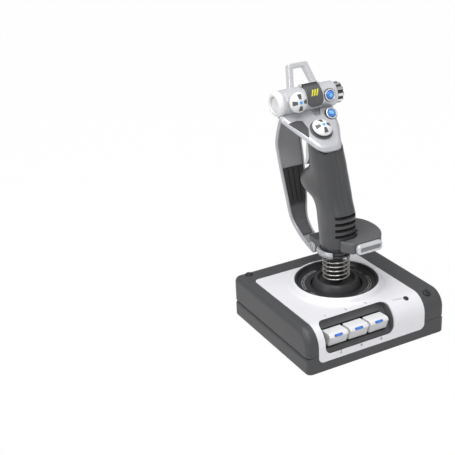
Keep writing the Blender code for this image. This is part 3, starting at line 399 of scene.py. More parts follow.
def silverPaint(name, colour, roughness=0.34, metallic=0.35, spread=0.05):
    look = Finish(name, roughness, metallic, coat=0.12, coatRoughness=0.25)
    flake = look.noise(5200, 1)
    cloud = look.noise(55, 3)
    rub = look.noise(420, 4, roughness=0.65)
    look.feed("Base Color", look.blend(cloud * 0.8 + flake * 0.2, shade(colour, 1 - spread),
                                       shade(colour, 1 + spread)))
    look.feed("Roughness", roughness - 0.07 + rub * 0.14)
    look.feed("Metallic", metallic - 0.02 + flake * 0.04)
    look.grain(flake * 0.4 + rub, 0.0008)
    return look.material


def rubberSkin(name, colour):
    look = Finish(name, 0.8)
    dust = look.noise(260, 5, roughness=0.7)
    stipple = look.noise(1900, 2)
    look.feed("Base Color", look.blend(dust, shade(colour, 0.7), shade(colour, 1.5)))
    look.feed("Roughness", 0.72 + dust * 0.18)
    look.grain(stipple, 0.09)
    return look.material


def bareSteel(name, colour, roughness=0.3):
    look = Finish(name, roughness, 1.0)
    drawn = look.noise(180, 4, look.start.node("ShaderNodeMapping", {},
                                               {"Vector": look.place, "Scale": (1, 1, 14)}))
    spots = look.noise(700, 3)
    look.feed("Base Color", look.blend(drawn, shade(colour, 0.82), shade(colour, 1.12)))
    look.feed("Roughness", roughness - 0.08 + spots * 0.2)
    look.grain(drawn, 0.01)
    return look.material


def litLens(name, deep, bright, place, radius, glow=0.5):     # a clear coloured lens, brighter at its centre: over a lamp this is its glow, on the A and B buttons a painted highlight
    look = Finish(name, 0.14, coat=0.6, coatRoughness=0.05, emission=glow)
    x, y, z = look.axes(look.turnedPlace(place))
    spread = (x * x + y * y) / (radius * mm) ** 2
    core = look.start.node("ShaderNodeClamp", {}, {"Value": 1 - spread})
    swirl = look.noise(600, 2)
    look.feed("Base Color", look.blend(core * 0.7 + swirl * 0.3, deep, bright))
    look.feed("Emission Color", look.blend(core, shade(deep, 0.3), bright))
    look.feed("Roughness", 0.1 + swirl * 0.08)
    return look.material


charcoalCase = mouldedPlastic("charcoalCase", (0.058, 0.059, 0.062), 0.46, 0.10, 0.06, 1500)
charcoalGrip = mouldedPlastic("charcoalGrip", (0.062, 0.063, 0.066), 0.31, 0.09, 0.04, 1900)
charcoalRest = mouldedPlastic("charcoalRest", (0.100, 0.101, 0.106), 0.48, 0.08, 0.03)
blackPlastic = mouldedPlastic("blackPlastic", (0.022, 0.022, 0.024), 0.4, 0.15, 0.02)
darkCup = mouldedPlastic("darkCup", (0.035, 0.035, 0.038), 0.45, 0.12, 0.02)
bezelPlastic = mouldedPlastic("bezelPlastic", (0.115, 0.116, 0.12), 0.5, 0.1, 0.04)
whitePlastic = mouldedPlastic("whitePlastic", (0.78, 0.78, 0.79), 0.32, 0.03, 0.01, coat=0.2)
notchGrey = mouldedPlastic("notchGrey", (0.10, 0.098, 0.095), 0.5, 0.12, 0.03)
panelGrey = mouldedPlastic("panelGrey", (0.075, 0.075, 0.078), 0.42, 0.12, 0.03)
inlayGrey = mouldedPlastic("inlayGrey", (0.24, 0.24, 0.25), 0.4, 0.08, 0.02)
rockerWhite = mouldedPlastic("rockerWhite", (0.72, 0.72, 0.735), 0.36, 0.03, 0.012, coat=0.15)
# painted shade: the grey of the guard's silver inner face in shadow, used for the upper pad
padGreyShaded = mouldedPlastic("padGreyShaded", (0.32, 0.32, 0.33), 0.5, 0.06, 0.05, 1500)
footRubber = rubberSkin("footRubber", (0.02, 0.02, 0.02))
plateSilver = silverPaint("plateSilver", (0.80, 0.80, 0.83), 0.34, 0.18, 0.03)
headSilver = silverPaint("headSilver", (0.65, 0.655, 0.68), 0.34, 0.38)
# painted shade: the head's silver made darker for the neck plate
neckSilverShaded = silverPaint("neckSilverShaded", (0.56, 0.565, 0.595), 0.36, 0.38)
# painted shade: the head's silver made darker for the hand guard; the twist lock shares it
guardSilverShaded = silverPaint("guardSilverShaded", (0.44, 0.445, 0.47), 0.36, 0.38)
ringSilver = silverPaint("ringSilver", (0.80, 0.81, 0.84), 0.26, 0.5, 0.03)
springSteel = bareSteel("springSteel", (0.60, 0.585, 0.55), 0.3)
pinSteel = bareSteel("pinSteel", (0.55, 0.55, 0.56), 0.32)
redButton = mouldedPlastic("redButton", (0.50, 0.03, 0.022), 0.3, 0.1, 0.01, coat=0.3)
innerGrey = mouldedPlastic("innerGrey", (0.24, 0.24, 0.25), 0.55, 0.1, 0.04)
print("finishes ready")


# base

base = {"width": 176, "depth": 162, "top": 49.7, "seam": 20, "wall": 3.5, "corner": 6, "edge": 7, "front": 20}


def frontLine(depth, back, bottom, steps=16):        # over the top and down the front, as y and z
    radius = base["front"] - depth
    middleY, middleZ = base["front"] - base["depth"] / 2, base["top"] - base["front"]
    line = [(back, base["top"] - depth)]
    for k in range(steps + 1):
        angle = math.pi / 2 * k / steps
        line.append((middleY - radius * math.sin(angle), middleZ + radius * math.cos(angle)))
    line.append((depth - base["depth"] / 2, bottom))
    return line


def frontSpot(x, y):                # a place on the rounded front edge
    lean = max(base["front"] - base["depth"] / 2 - y, 0) / base["front"]
    rise = math.sqrt(1 - lean ** 2)
    return standAt((x, y, base["top"] - base["front"] * (1 - rise)), (0, -lean, rise))


def caseBlock(name, inset, low, high, front, edge, corner):
    wide, deep = base["width"] / 2 - inset, base["depth"] / 2 - inset
    clearPicks()
    bpy.ops.mesh.primitive_cube_add(size=1, location=(0, 0, (low + high) / 2 * mm),
                                    scale=(2 * wide * mm, 2 * deep * mm, (high - low) * mm))
    thing = settle(bpy.context.object, Matrix())
    thing.name = name
    openMesh(thing)
    if front:
        pickEdges(thing, lambda a, b: a.y + b.y < 0.1 - 2 * deep and a.z + b.z > 2 * high - 0.1)
        bevelPicked(front, 14)

    def onSide(a, b):
        if a.z + b.z < 2 * low + 0.1:
            return False
        side = min(a.x * b.x, abs(a.x), abs(b.x)) > wide - 0.05
        return side or (min(a.y, b.y) > deep - 0.05 and a.z + b.z > 2 * high - 0.1)
    pickEdges(thing, onSide)
    bevelPicked(edge if front else corner, 6)
    closeMesh()
    return thing


plate = {"left": -75, "right": 60, "back": 55, "bottom": 12, "proud": 0.4, "sunk": 1.5, "corner": 6}


def plateSheet(name, outer, inner, margin):
    back, bottom = plate["back"] + margin, plate["bottom"] - margin
    outline = frontLine(outer, back, bottom) + frontLine(inner, back, bottom)[::-1]
    thing = prism(name, outline, plate["left"] - margin, plate["right"] + margin, alongX)
    openMesh(thing)
    pickEdges(thing, lambda a, b: abs(a.x - b.x) < 0.01
              and (min(a.y, b.y) > back - 0.01 or max(a.z, b.z) < bottom + 0.01))
    bevelPicked(plate["corner"] + margin, 8)
    closeMesh()
    return thing


switches = {"left": -67, "right": 20, "height": 35.3, "corner": 7, "pitch": 25.5, "width": 22.8,
            "axle": (-68.5, 32), "back": -57, "bottom": 17}
windowPlace = standAt(((switches["left"] + switches["right"]) / 2, -71.5, 34.9), (0, -0.842, 0.538))


def windowCut(depth, inset=0.0):
    wide, tall = (switches["right"] - switches["left"]) / 2 - inset, switches["height"] / 2 - inset
    return prism("cutter", roundBox(-wide, -tall, wide, tall, switches["corner"], 8), depth, 16, windowPlace)


def bezelBlock(name, margin):
    back, bottom = switches["back"] + margin, switches["bottom"] - margin
    outline = frontLine(plate["sunk"] + hair - margin, back, bottom) + [(back, bottom)]
    return prism(name, outline, switches["left"] - 3 - margin, switches["right"] + 3 + margin, alongX)


plugs = {"rear_left": (-72, 72), "rear_right": (72, 72), "front_right": (71, -70)}
dish = {"radius": 46.4, "floor": 50}
feet = {"radius": 8, "inset": 15}
footSpots = [(sx * (base["width"] / 2 - feet["inset"]), sy * (base["depth"] / 2 - feet["inset"]))
             for sx in (-1, 1) for sy in (-1, 1)]
socketPlace = standAt((-45, base["depth"] / 2, 11.5), (0, 1, 0))


def makeBase():
    upper = caseBlock("upper_case", 0, base["seam"] + 0.2, base["top"], base["front"], base["edge"],
                      base["corner"])
    wall = base["wall"]
    cutAway(upper,
            caseBlock("cutter", wall, 10, base["top"] - wall, base["front"] - wall, base["edge"] - wall, 3),
            plateSheet("cutter", -6, plate["sunk"] + hair, hair), bezelBlock("cutter", hair),
            rod("cutter", (0, 0, 30), (0, 0, 60), dish["radius"] + 0.6, 96),
            *[turned("cutter", [(4.5, -12), (4.5, 5)], frontSpot(*spot), 32) for spot in plugs.values()])
    soften(upper, 0.5, 2)
    handOver(upper, "base", "charcoal_plastic", charcoalCase, "base_upper_shell")

    lower = caseBlock("lower_case", 0, 0, base["seam"] - 0.2, 0, 0, base["corner"])
    openMesh(lower)
    pickEdges(lower, lambda a, b: max(a.z, b.z) < 0.01)
    bevelPicked(1.5, 3)
    closeMesh()
    cutAway(lower, caseBlock("cutter", wall, 3, 30, 0, 0, 3), plateSheet("cutter", -6, plate["sunk"] + hair,
                                                                         hair),
            bezelBlock("cutter", hair), turned("cutter", [(6.3, -9), (6.3, 5)], socketPlace, 32),
            *[rod("cutter", (x, y, -2), (x, y, 1), feet["radius"] + hair, 40) for x, y in footSpots])
    soften(lower, 0.5, 2)
    handOver(lower, "base", "charcoal_plastic", charcoalCase, "base_lower_shell")

    pad = [(2.0, -0.6), (4.8, -0.6), (5.4, -1.0), (7.1, -1.0), (7.7, -0.8), (8.0, -0.3), (8.0, 0.7), (2.0, 0.7)]
    for i, (x, y) in enumerate(footSpots):
        foot = turned(f"foot_pad_{i + 1}", pad, Matrix.Translation(Vector((x, y, 0)) * mm), 48)
        handOver(foot, "base", "foot_rubber", footRubber, f"foot_{i + 1}")
    cap = [(4.2, -3.0), (4.2, 0.5), (4.0, 0.9), (3.6, 1.2), (2.6, 1.35), (2.2, 1.0), (0.6, 0.9)]
    for name, spot in plugs.items():
        handOver(turned(f"screw_plug_{name}", cap, frontSpot(*spot), 40), "base", "dark_plastic", blackPlastic,
                 f"corner_plug_{name}")
    inlet = [(6.0, -8.0), (6.0, 0.3), (7.6, 0.3), (7.6, 1.2), (7.2, 1.7), (6.6, 1.9), (4.6, 1.9), (4.2, 1.5),
             (4.2, -6.0),
             (1.5, -6.0), (1.5, -2.0), (1.2, -1.6), (0.4, -1.5)]
    handOver(turned("cord_inlet", inlet, socketPlace, 48), "base", "dark_plastic", blackPlastic, "cable_socket")


def makePlate():
    sheet = plateSheet("front_plate", -plate["proud"], plate["sunk"], 0)
    lensSpot = frontSpot(43.8, -68.9)
    cutAway(sheet, rod("cutter", (0, 0, 40), (0, 0, 60), dish["radius"] + hair, 128), windowCut(-14),
            turned("cutter", [(3.2, -5), (3.2, 5)], lensSpot, 32))
    soften(sheet, 0.4, 2)
    handOver(sheet, "base", "plate_silver", plateSilver, "top_plate")

    inner = dish["radius"] + hair
    foot = base["top"] + plate["proud"] - 0.3
    collar = [(inner, foot), (54.6, foot), (54.2, 50.25), (53.2, 50.6), (52.3, 51.4), (51.2, 52.9),
              (50.2, 54.3),
              (49.4, 55.2), (48.6, 55.8), (47.6, 56.0), (47.0, 55.9), (inner, 55.5)]
    handOver(turned("dish_collar", collar, sides=128, ring=True), "base", "plate_silver", plateSilver)
    lens = [(2.95, -1.2), (2.95, 0.3), (2.6, 0.65), (1.9, 0.85), (0.7, 0.95)]
    handOver(turned("status_lamp", lens, lensSpot, 32), "base", "dark_plastic", blackPlastic, "status_lens")


def printedDish():                  # black bowl with pale printed arcs and ticks round the stick
    look = Finish("printedDish", 0.42)
    x, y, z = look.axes()
    radius = look.start.maths("SQRT", x * x + y * y)
    angle = look.start.maths("ARCTAN2", y, x)
    cloud = look.noise(60, 3)
    speck = look.noise(1400, 2)
    arcs = 0.0
    for middle in (0.0385, 0.0362):
        arcs = (look.start.maths("ABSOLUTE", radius - middle) < 0.0003) + arcs
    quarter = look.start.maths("ABSOLUTE", look.start.maths("FRACT", angle / (math.pi / 2) + 0.5) - 0.5)
    arcs = arcs * (quarter > 0.07)
    tick = look.start.maths("ABSOLUTE", look.start.maths("FRACT", angle / math.radians(15)) - 0.5)
    ticks = (tick < 0.03) * (look.start.maths("ABSOLUTE", radius - 0.03735) < 0.0011) * (quarter > 0.07)
    flat = z < (dish["floor"] + 0.6) * mm
    mark = look.start.maths("MINIMUM", (arcs + ticks) * flat, 1.0)
    plain = look.blend(cloud * 0.6 + speck * 0.4, (0.018, 0.018, 0.020), (0.034, 0.034, 0.037))
    look.feed("Base Color", look.blend(mark * 0.8, plain, (0.42, 0.42, 0.43)))
    look.feed("Roughness", 0.34 + speck * 0.16)
    look.grain(speck, 0.02)
    return look.material


def makeDish():
    bowl = [(46.4, 55.3), (46.2, 55.6), (44.9, 55.6), (44.5, 55.3), (43.9, 53.2), (43.3, 51.6), (42.6, 50.6),
            (41.6, 50.05),
            (41.0, 50.0), (29.3, 50.0), (28.9, 49.7), (28.9, 48.0), (43.0, 48.0), (43.0, 44.2), (49.5, 44.2),
            (49.5, 45.9), (46.4, 45.9)]
    handOver(turned("stick_bowl", bowl, sides=128, ring=True), "base", "dark_plastic", printedDish(),
             "stick_dish")


makeBase()
print("base done")
makePlate()
makeDish()
print("plate and dish done")


# switches

def makeSwitches():
    frameBlock = bezelBlock("switch_frame", 0)
    slot = prism("cutter", roundBox(-38.6, -12, 38.6, 8.7, 1.2, 3), -14, 5, windowPlace)
    y, z = switches["axle"]
    cutAway(frameBlock, windowCut(-6), slot,
            rod("cutter", (switches["left"] - 1.6, y, z), (switches["right"] + 1.6, y, z), 1.8, 24))
    soften(frameBlock, 0.5, 2)
    handOver(frameBlock, "base", "charcoal_plastic", bezelPlastic, "switch_bezel")

    side = roundOff([(-63.5, 38.9, 1.0), (-75.5, 39.9, 6.0), (-78.6, 39.4, 2.0), (-80.6, 36.6, 0.9),
                     (-79.2, 34.8, 1.0),
                     (-75.8, 25.2, 1.5), (-67, 25.2, 2.0), (-63.5, 30, 2.0)], 4)
    half = switches["width"] / 2
    middle = (switches["left"] + switches["right"]) / 2
    for i in range(3):
        x = middle + (i - 1) * switches["pitch"]
        seat = standAt((x - 0.8, -79.6, 38.0), (0, -0.814, 0.581))
        rocker = prism(f"switch_rocker_{i + 1}", side, x - half, x + half, alongX, 0.9, 4)
        cutAway(rocker, rod("cutter", (x - 20, y, z), (x + 20, y, z), 1.8, 24),
                prism("cutter", roundBox(-4.9, -1.5, 4.9, 1.5, 0.6, 3), -0.8, 3, seat))
        handOver(rocker, f"rocker_{i + 1}", "white_plastic", rockerWhite, f"rocker_{i + 1}")
        lamp = prism(f"switch_lamp_{i + 1}", roundBox(-4.6, -1.2, 4.6, 1.2, 0.5, 3), -0.5, 0.4, seat, 0.2, 2)
        glow = litLens(f"lampBlue{i + 1}", (0.01, 0.06, 0.36), (0.04, 0.20, 0.70), seat, 4.6, 0.15)
        handOver(lamp, f"rocker_{i + 1}", "blue_lens", glow, f"rocker_lamp_{i + 1}")


digits = {"size": 5.4, "upper": ("1", "3", "5"), "lower": ("2", "4", "6"), "upperY": -58.5, "lowerZ": 16.2,
          "lift": 0.46}


def makeDigits():                   # small plain numbers behind and under each switch
    middle = (switches["left"] + switches["right"]) / 2
    front = -base["depth"] / 2 - digits["lift"]
    marks = []
    for i in range(3):
        x = middle + (i - 1) * switches["pitch"]
        for word, place in ((digits["upper"][i], standAt((x - 2.5, digits["upperY"],
                                                          base["top"] + digits["lift"]), (0, 0, 1))),
                            (digits["lower"][i], standAt((x + 1, front, digits["lowerZ"]), (0, -1, 0)))):
            clearPicks()
            bpy.ops.object.text_add()
            mark = bpy.context.object
            mark.data.body = word
            mark.data.size = digits["size"] * mm
            mark.data.extrude = 0.03 * mm
            mark.data.align_x = "CENTER"
            bpy.ops.object.convert(target="MESH")
            marks.append(settle(bpy.context.object, place))
    for k in range(5):              # a short broken line beside the lamp
        spot = standAt((28.5 + 2.4 * k, -67 - 0.3 * k, base["top"] + digits["lift"]), (0, 0, 1))
        marks.append(prism("dash", roundBox(-0.8, -0.3, 0.8, 0.3, 0.1, 2), -0.03, 0.03, spot))
    handOver(gather("switch_numbers", marks), "base", "dark_plastic", notchGrey)


makeSwitches()
makeDigits()
print("switches done")


# stick, spring and collar

pivotHeight = 41
ball = {"radius": 28.5, "inner": 26, "top": 57.5, "floor": 53}
spring = {"wire": 1.9, "radius": 14.3, "turns": 5, "low": 53.3, "high": 86.7}
collar = {"low": 87, "high": 93.7, "radius": 17, "bore": 7.3}


def ballPoint(radius, degrees):
    angle = math.radians(degrees)
    return radius * math.cos(angle), pivotHeight + radius * math.sin(angle)


def makeCup():
    rim = math.degrees(math.asin((ball["top"] - 0.8 - pivotHeight) / ball["radius"]))
    shell = [ballPoint(ball["radius"], -12 + (rim + 12) * k / 12) for k in range(13)]
    lining = [ballPoint(ball["inner"], 22.6 - 35.6 * k / 8) for k in range(9)]
    lip = [(22.9, 57.3), (22.3, 57.5), (21.6, 57.5), (21.0, 57.2), (20.6, 56.4), (19.4, 53.8), (18.8, 53.2),
           (18.2, 53.0)]
    cup = shell + lip + [(collar["bore"], ball["floor"]), (collar["bore"], ball["floor"] - 2)] + lining
    handOver(turned("ball_shell", cup, sides=96, ring=True), "stick", "dark_plastic", darkCup, "ball_cup")


def makeSpring():
    bend = 1.2 * spring["wire"]
    turn = spring["turns"] * math.tau
    ease = []
    for k in range(7):
        angle = math.radians(15 * k)
        ease.append((bend * (1 - math.cos(angle)) / spring["radius"], spring["wire"] + bend * math.sin(angle)))
    rows = [(0, spring["low"])] + [(a, spring["low"] + z) for a, z in ease]
    first, last = rows[-1], (turn - ease[-1][0], spring["high"] - ease[-1][1])
    steps = spring["turns"] * 36
    for k in range(1, steps):
        t = k / steps
        rows.append((first[0] + (last[0] - first[0]) * t, first[1] + (last[1] - first[1]) * t))
    rows += [(turn - a, spring["high"] - z) for a, z in reversed(ease)] + [(turn, spring["high"])]
    curve = bpy.data.curves.new("return_coil", "CURVE")
    curve.dimensions = "3D"
    curve.bevel_depth = spring["wire"] / 2 * mm
    curve.bevel_resolution = 3
    curve.use_fill_caps = True
    line = curve.splines.new("POLY")
    line.points.add(len(rows) - 1)
    for knot, (angle, z) in zip(line.points, rows):
        knot.co = (spring["radius"] * math.cos(angle) * mm, spring["radius"] * math.sin(angle) * mm, z * mm, 1)
    thing = bpy.data.objects.new("return_coil", curve)
    bpy.context.collection.objects.link(thing)
    pickUp(thing)
    bpy.ops.object.convert(target="MESH")
    handOver(bpy.context.object, "stick", "steel", springSteel, "return_spring", angle=60)


def makeCollar():
    low, radius, bore = collar["low"], collar["radius"], collar["bore"]
    groove = radius - 1.8
    profile = [(bore, low), (15.6, low), (16.5, low + 0.3), (16.9, low + 0.9), (radius, low + 1.4),
               (radius, low + 2.3),
               (radius - 0.2, low + 2.5), (groove, low + 2.5), (groove, low + 5.5), (radius - 0.2, low + 5.5),
               (radius, low + 5.7), (radius, collar["high"]), (bore, collar["high"])]
    handOver(turned("stick_collar", profile, sides=96, ring=True), "grip", "charcoal_plastic", charcoalGrip,
             "grip_collar")
    outside = radius + 0.4
    tab = roundOff([(groove + 0.4, low + 2.8, 0), (groove + 0.4, low + 5.2, 0), (outside, low + 5.2, 0),
                    (outside, low + 6.4, 0.4), (19.2, low + 6.9, 0.4), (19.2, low + 8.4, 0.4), (20.6,
                                                                                                low + 8.4, 0.6),
                    (21.9, low + 5.0, 2.0), (20.8, low + 1.4, 0.8), (outside, low + 1.4, 0.4), (outside,
                                                                                                low + 2.8, 0)], 3)
    rings = []
    for k in range(25):
        angle = math.radians(152 + 74 * k / 24)
        rings.append([(r * math.cos(angle), r * math.sin(angle), z) for r, z in tab])
    lock = soften(skinned("lock_tab", rings), 0.5, 3, 60)
    handOver(lock, "twist_lock", "silver_plastic", guardSilverShaded, "twist_lock")


makeCup()
makeSpring()
makeCollar()
print("stick done")


# grip

grip = {"sides": 72, "palm": 0.77, "slots": 4, "slotPitch": 7.1, "slotHeight": 3.9, "slotLow": 115.4,
        "slotReach": 13, "seam": 0.12, "ridge": 0.22, "ridgeHeight": 160, "ridgeSpread": 10, "ridgeReach": 0.4,
        "rows": ((94, 0, 15.6, 16.5, 15.8), (98, -0.5, 16.8, 18.2, 17.8), (103, -1, 18, 20, 20.6),
                 (125, -1, 18, 26, 21),
                 (136, -1, 18, 29, 21), (145, 1.5, 18, 31, 19.5), (151, 3.4, 18, 37, 18.7), (156, 5, 18.5, 52,
                                                                                             18.3),
                 (162, 6.8, 18.5, 54, 18), (170, 9, 18.3, 47, 18), (180, 12, 18, 31, 18), (190, 15, 18, 25,
                                                                                           17.8),
                 (205, 19.5, 17.3, 22, 17.3), (222, 24.6, 16.6, 22, 17), (240, 30, 17, 22, 16))}
neck = {"tip": (0, -5, 206), "rise": (0, 47, 33), "thick": 8, "seat": 5}
barrel = {"y": 53, "z": 251, "radius": 14, "wall": 2.5, "left": -37.7, "right": 30}
eye = {"y": 36, "z": 82, "radius": 6.5, "half": 9}
triggerPin = (37, 208)
pinkiePin = (19.5, 135)


def palmPoint(halfWidth, depth, angle):
    power = 1 if math.sin(angle) > 0 else grip["palm"]
    across = math.copysign(abs(math.cos(angle)) ** power, math.cos(angle))
    along = math.copysign(abs(math.sin(angle)) ** power, math.sin(angle))
    return halfWidth * across, depth * along


def gripRing(row):
    height, middle, halfWidth, front, rear = row
    ring = []
    for i in range(grip["sides"]):
        angle = math.tau * i / grip["sides"]
        x, y = palmPoint(halfWidth, front if math.sin(angle) > 0 else rear, angle)
        near = math.exp(-((height - grip["ridgeHeight"]) / grip["ridgeSpread"]) ** 2)
        ridge = grip["ridge"] * near * max(math.sin(angle) + grip["ridgeReach"], 0)
        ring.append((x * (1 + ridge), middle + y, height))
    return ring


neckRise = Vector(neck["rise"]).normalized()
neckPlace = standAt(neck["tip"], (0, -neckRise.z, neckRise.y))
barrelPlace = standAt((0, barrel["y"], barrel["z"]), (1, 0, 0))


def spoke(x, tilt):                 # out of the barrel, tilted up from the user
    angle = math.radians(tilt)
    return standAt((x, barrel["y"], barrel["z"]), (0, -math.cos(angle), math.sin(angle)))


def barrelCore():
    return turned("cutter", [(barrel["radius"] + hair, -80), (barrel["radius"] + hair, 80)], barrelPlace, 96)


def boxTool(low, high):
    return prism("cutter", [(low[0], low[1]), (high[0], low[1]), (high[0], high[1]), (low[0], high[1])],
                 low[2], high[2])


def makeGrip():
    handle = skinned("handle", [gripRing(row) for row in smoothRows(grip["rows"], 4)])
    foot = roundOff([(4, 96, 0), (18.2, 95.2, 0), (19.5, 90, 3), (23.5, 82, 4), (29, 79.5, 3), (36, 80, 4),
                     (42, 89, 4),
                     (44, 94.8, 1), (25, 95.2, 2), (21, 99, 2), (4, 110, 0)], 4)
    joinTo(handle, prism("foot", foot, -8, 8, alongX, 1.5, 3))
    tools = [rod("cutter", (-20, eye["y"], eye["z"]), (20, eye["y"], eye["z"]), eye["radius"] + 0.6, 48),
             prism("cutter", [(-80, neck["seat"]), (80, neck["seat"]), (80, 120), (-80, 120)],
                   -neck["thick"] - hair, 80,
                   neckPlace),
             barrelCore(), boxTool((-8, 26, 172), (8, 80, 216)), boxTool((-5.5, 12, 103), (5.5, 60, 140)),
             rod("cutter", (-10.5, *triggerPin), (10.5, *triggerPin), 1.8, 24),
             rod("cutter", (0, 0, 80), (0, 0, 113), 7.4, 48)]
    for k in range(grip["slots"]):
        z = grip["slotLow"] + k * grip["slotPitch"]
        tall = grip["slotHeight"] / 2
        tools.append(prism("cutter", roundBox(-grip["slotReach"], z - tall, grip["slotReach"], z + tall, 1.2,
                                              3), 15.5, 45,
                           standAt((0, 0, 0), (0, -1, 0))))
    cutAway(handle, *tools)
    soften(handle, 0.45, 2, 45)
    right = handle.copy()
    right.data = handle.data.copy()
    bpy.context.collection.objects.link(right)
    for half, name, side in ((handle, "left", -1), (right, "right", 1)):
        half.name = f"handle_{name}"
        openMesh(half, True)
        bpy.ops.mesh.bisect(plane_co=(side * grip["seam"] * mm, 0, 0), plane_no=(side, 0, 0), use_fill=True,
                            clear_inner=True)
        closeMesh()
        handOver(half, "grip", "charcoal_plastic", charcoalGrip, f"grip_{name}_half", angle=40)


def makeLevers():
    pull = roundOff([(33, 207, 1.5), (34.5, 211.5, 1.5), (38, 212.6, 2), (43.5, 210, 3), (47, 203.5, 6),
                     (48, 195, 10),
                     (48, 187, 8), (51, 179, 0.8), (50, 176.8, 0.8), (46.5, 178.5, 3), (42, 186, 6), (40, 194,
                                                                                                      8),
                     (36, 202, 6)], 4)
    lever = prism("trigger_blade", pull, -7.5, 7.5, alongX, 1.2, 4)
    cutAway(lever, rod("cutter", (-20, *triggerPin), (20, *triggerPin), 1.8, 24))
    handOver(lever, "trigger", "silver_plastic", headSilver, "trigger")
    squeeze = roundOff([(16.5, 134, 1), (18.5, 138, 1), (22.5, 138.2, 2), (28.5, 134.5, 3), (30.5, 128, 6),
                        (29, 117, 10),
                        (27.5, 108.5, 1.2), (25, 106.5, 1.2), (22.5, 109, 1.5), (21.5, 118, 8), (19.5, 128,
                                                                                                 6)], 4)
    lever = prism("pinkie_blade", squeeze, -5, 5, alongX, 1.0, 4)
    joinTo(lever, rod("stub", (-7.6, *pinkiePin), (7.6, *pinkiePin), 1.5, 24))
    handOver(lever, "pinkie_lever", "silver_plastic", headSilver, "pinkie_lever")


rest = {"low": 99, "high": 111.8, "front": -36, "capX": 17.4, "capZ": 104}


def makeRest():
    edge = roundOff([(-9.5, -24, 0), (-2, rest["front"], 2), (33, rest["front"], 10), (44, -24, 30),
                     (48.5, -9, 45),
                     (48, 11, 32), (37, 28, 14), (21.5, 27, 3), (18.9, 5, 0)], 10)
    cradle = []
    for k in range(17):
        x, y = palmPoint(18.9, 21.9, math.radians(-7.5 * k))
        cradle.append((x, y - 1))
    outline = edge + cradle[:-1]
    rings = []
    low, high = rest["low"], rest["high"]
    for height, shrink in ((low, -1.0), (low + 0.3, -0.5), (low + 0.8, -0.15), (low + 1.5, 0), (high - 2.3, 0),
                           (high - 1.2, -0.25), (high - 0.5, -0.8), (high - 0.1, -1.5), (high, -2.3)):
        rings.append([(x, y, height) for x, y in grown(outline, shrink)])
    slab = skinned("palm_rest", rings)
    cutAway(slab, boxTool((18, -10.5, 106.5), (22.5, -5, 120)))      # notch that the rest slides by
    handOver(slab, "hand_rest", "charcoal_plastic", charcoalRest, "hand_rest")

    place = standAt((rest["capX"], rest["front"] - hair, rest["capZ"]), (0, -1, 0))
    face = roundBox(-16, -5.7, 16, 5.7, 4, 6)
    rings = []
    for depth, shrink in ((0, 0), (2.6, 0), (3.4, -0.25), (4.0, -0.8), (4.3, -1.6)):
        rings.append([tuple(place @ (Vector((x, y, depth)) * mm) / mm) for x, y in grown(face, shrink)])
    cap = skinned("palm_rest_cap", rings)
    cutAway(cap, prism("cutter", roundBox(-12.5, -2.4, 13.5, 2.4, 1.5, 5), 3.5, 8, place))
    soften(cap, 0.25, 2, 50)
    handOver(cap, "hand_rest", "silver_plastic", headSilver, "hand_rest_cap")
    inlay = prism("palm_rest_inlay", roundBox(-12.2, -2.1, 13.2, 2.1, 1.3, 5), 3.4, 3.9, place, 0.2, 2)
    handOver(inlay, "hand_rest", "silver_plastic", inlayGrey)


makeGrip()
makeLevers()
makeRest()
print("grip done")


# head

hat = {"firstX": -22.5, "firstTilt": 10, "second": (-4.5, 31.6)}
button = {"radius": 4.6, "aX": 18.7, "aTilt": 13, "b": (16.8, 48.4, 2.0), "bTilt": 18}
hat1Place = spoke(hat["firstX"], hat["firstTilt"])
hat2Place = lifted(neckPlace, *hat["second"])
buttonAPlace = spoke(button["aX"], button["aTilt"])
buttonBPlace = lifted(neckPlace, *button["b"]) @ Matrix.Rotation(math.radians(button["bTilt"]), 4, "X")


def makeHat(name, place, under, stemLow):
    dome = [(3.2, stemLow), (3.2, under), (10.2, under), (10.7, under + 0.2), (11.0, under + 0.7),
            (11.0, under + 1.3),
            (10.8, under + 1.9), (10.3, under + 2.5), (9.0, under + 3.55), (7.5, under + 4.6), (5.8,
                                                                                                under + 5.4),
            (4.0, under + 6.0), (2.4, under + 6.35), (0.8, under + 6.5)]
    cap = turned(f"{name}_disc", dome, place, 80)
    notch = roundOff([(-1.5, 3.5, 0.5), (1.5, 3.5, 0.5), (2.7, 9.4, 0.6), (-2.7, 9.4, 0.6)], 3)
    inlays = []
    for k in range(4):
        turn = place @ Matrix.Rotation(math.pi / 2 * k, 4, "Z")
        slope = turn @ Matrix.Translation(Vector((0, 3.5, under + 5.85)) * mm) @ Matrix.Rotation(-0.43, 4, "X")
        flat = [(a, b - 3.5) for a, b in notch]
        cutAway(cap, prism("cutter", flat, 0, 8, slope))
        inlays.append(prism("inlay", grown(flat, -0.03), -0.4, 0.12, slope))
    cutAway(cap, turned("cutter", [(1.9, under + 5.4), (1.9, under + 9)], place, 32))
    soften(cap, 0.2, 2, 50)
    handOver(cap, f"{name}_cap", "white_plastic", whitePlastic, f"{name}_cap")
    handOver(gather(f"{name}_notches", inlays), f"{name}_cap", "dark_plastic", notchGrey)
    lens = turned(f"{name}_lamp", [(1.85, under + 5.2), (1.85, under + 6.2), (1.6, under + 6.65),
                                   (1.0, under + 6.9),
                                   (0.3, under + 7.0)], place, 32)
    glow = litLens(f"{name}Glow", (0.10, 0.50, 0.93), (0.015, 0.16, 0.52), place, 1.7, 0.5)
    handOver(lens, f"{name}_cap", "blue_lens", glow)


def makeButton(name, place, low, high, radius, finish, slotName, dome=2.2):
    knob = [(radius, low), (radius, high - 0.2), (radius * 0.98, high + dome * 0.12),
            (radius * 0.92, high + dome * 0.36),
            (radius * 0.8, high + dome * 0.58), (radius * 0.6, high + dome * 0.8), (radius * 0.35,
                                                                                    high + dome * 0.95),
            (radius * 0.1, high + dome)]
    handOver(turned(f"{name}_knob", knob, place, 64), name, slotName, finish, name)


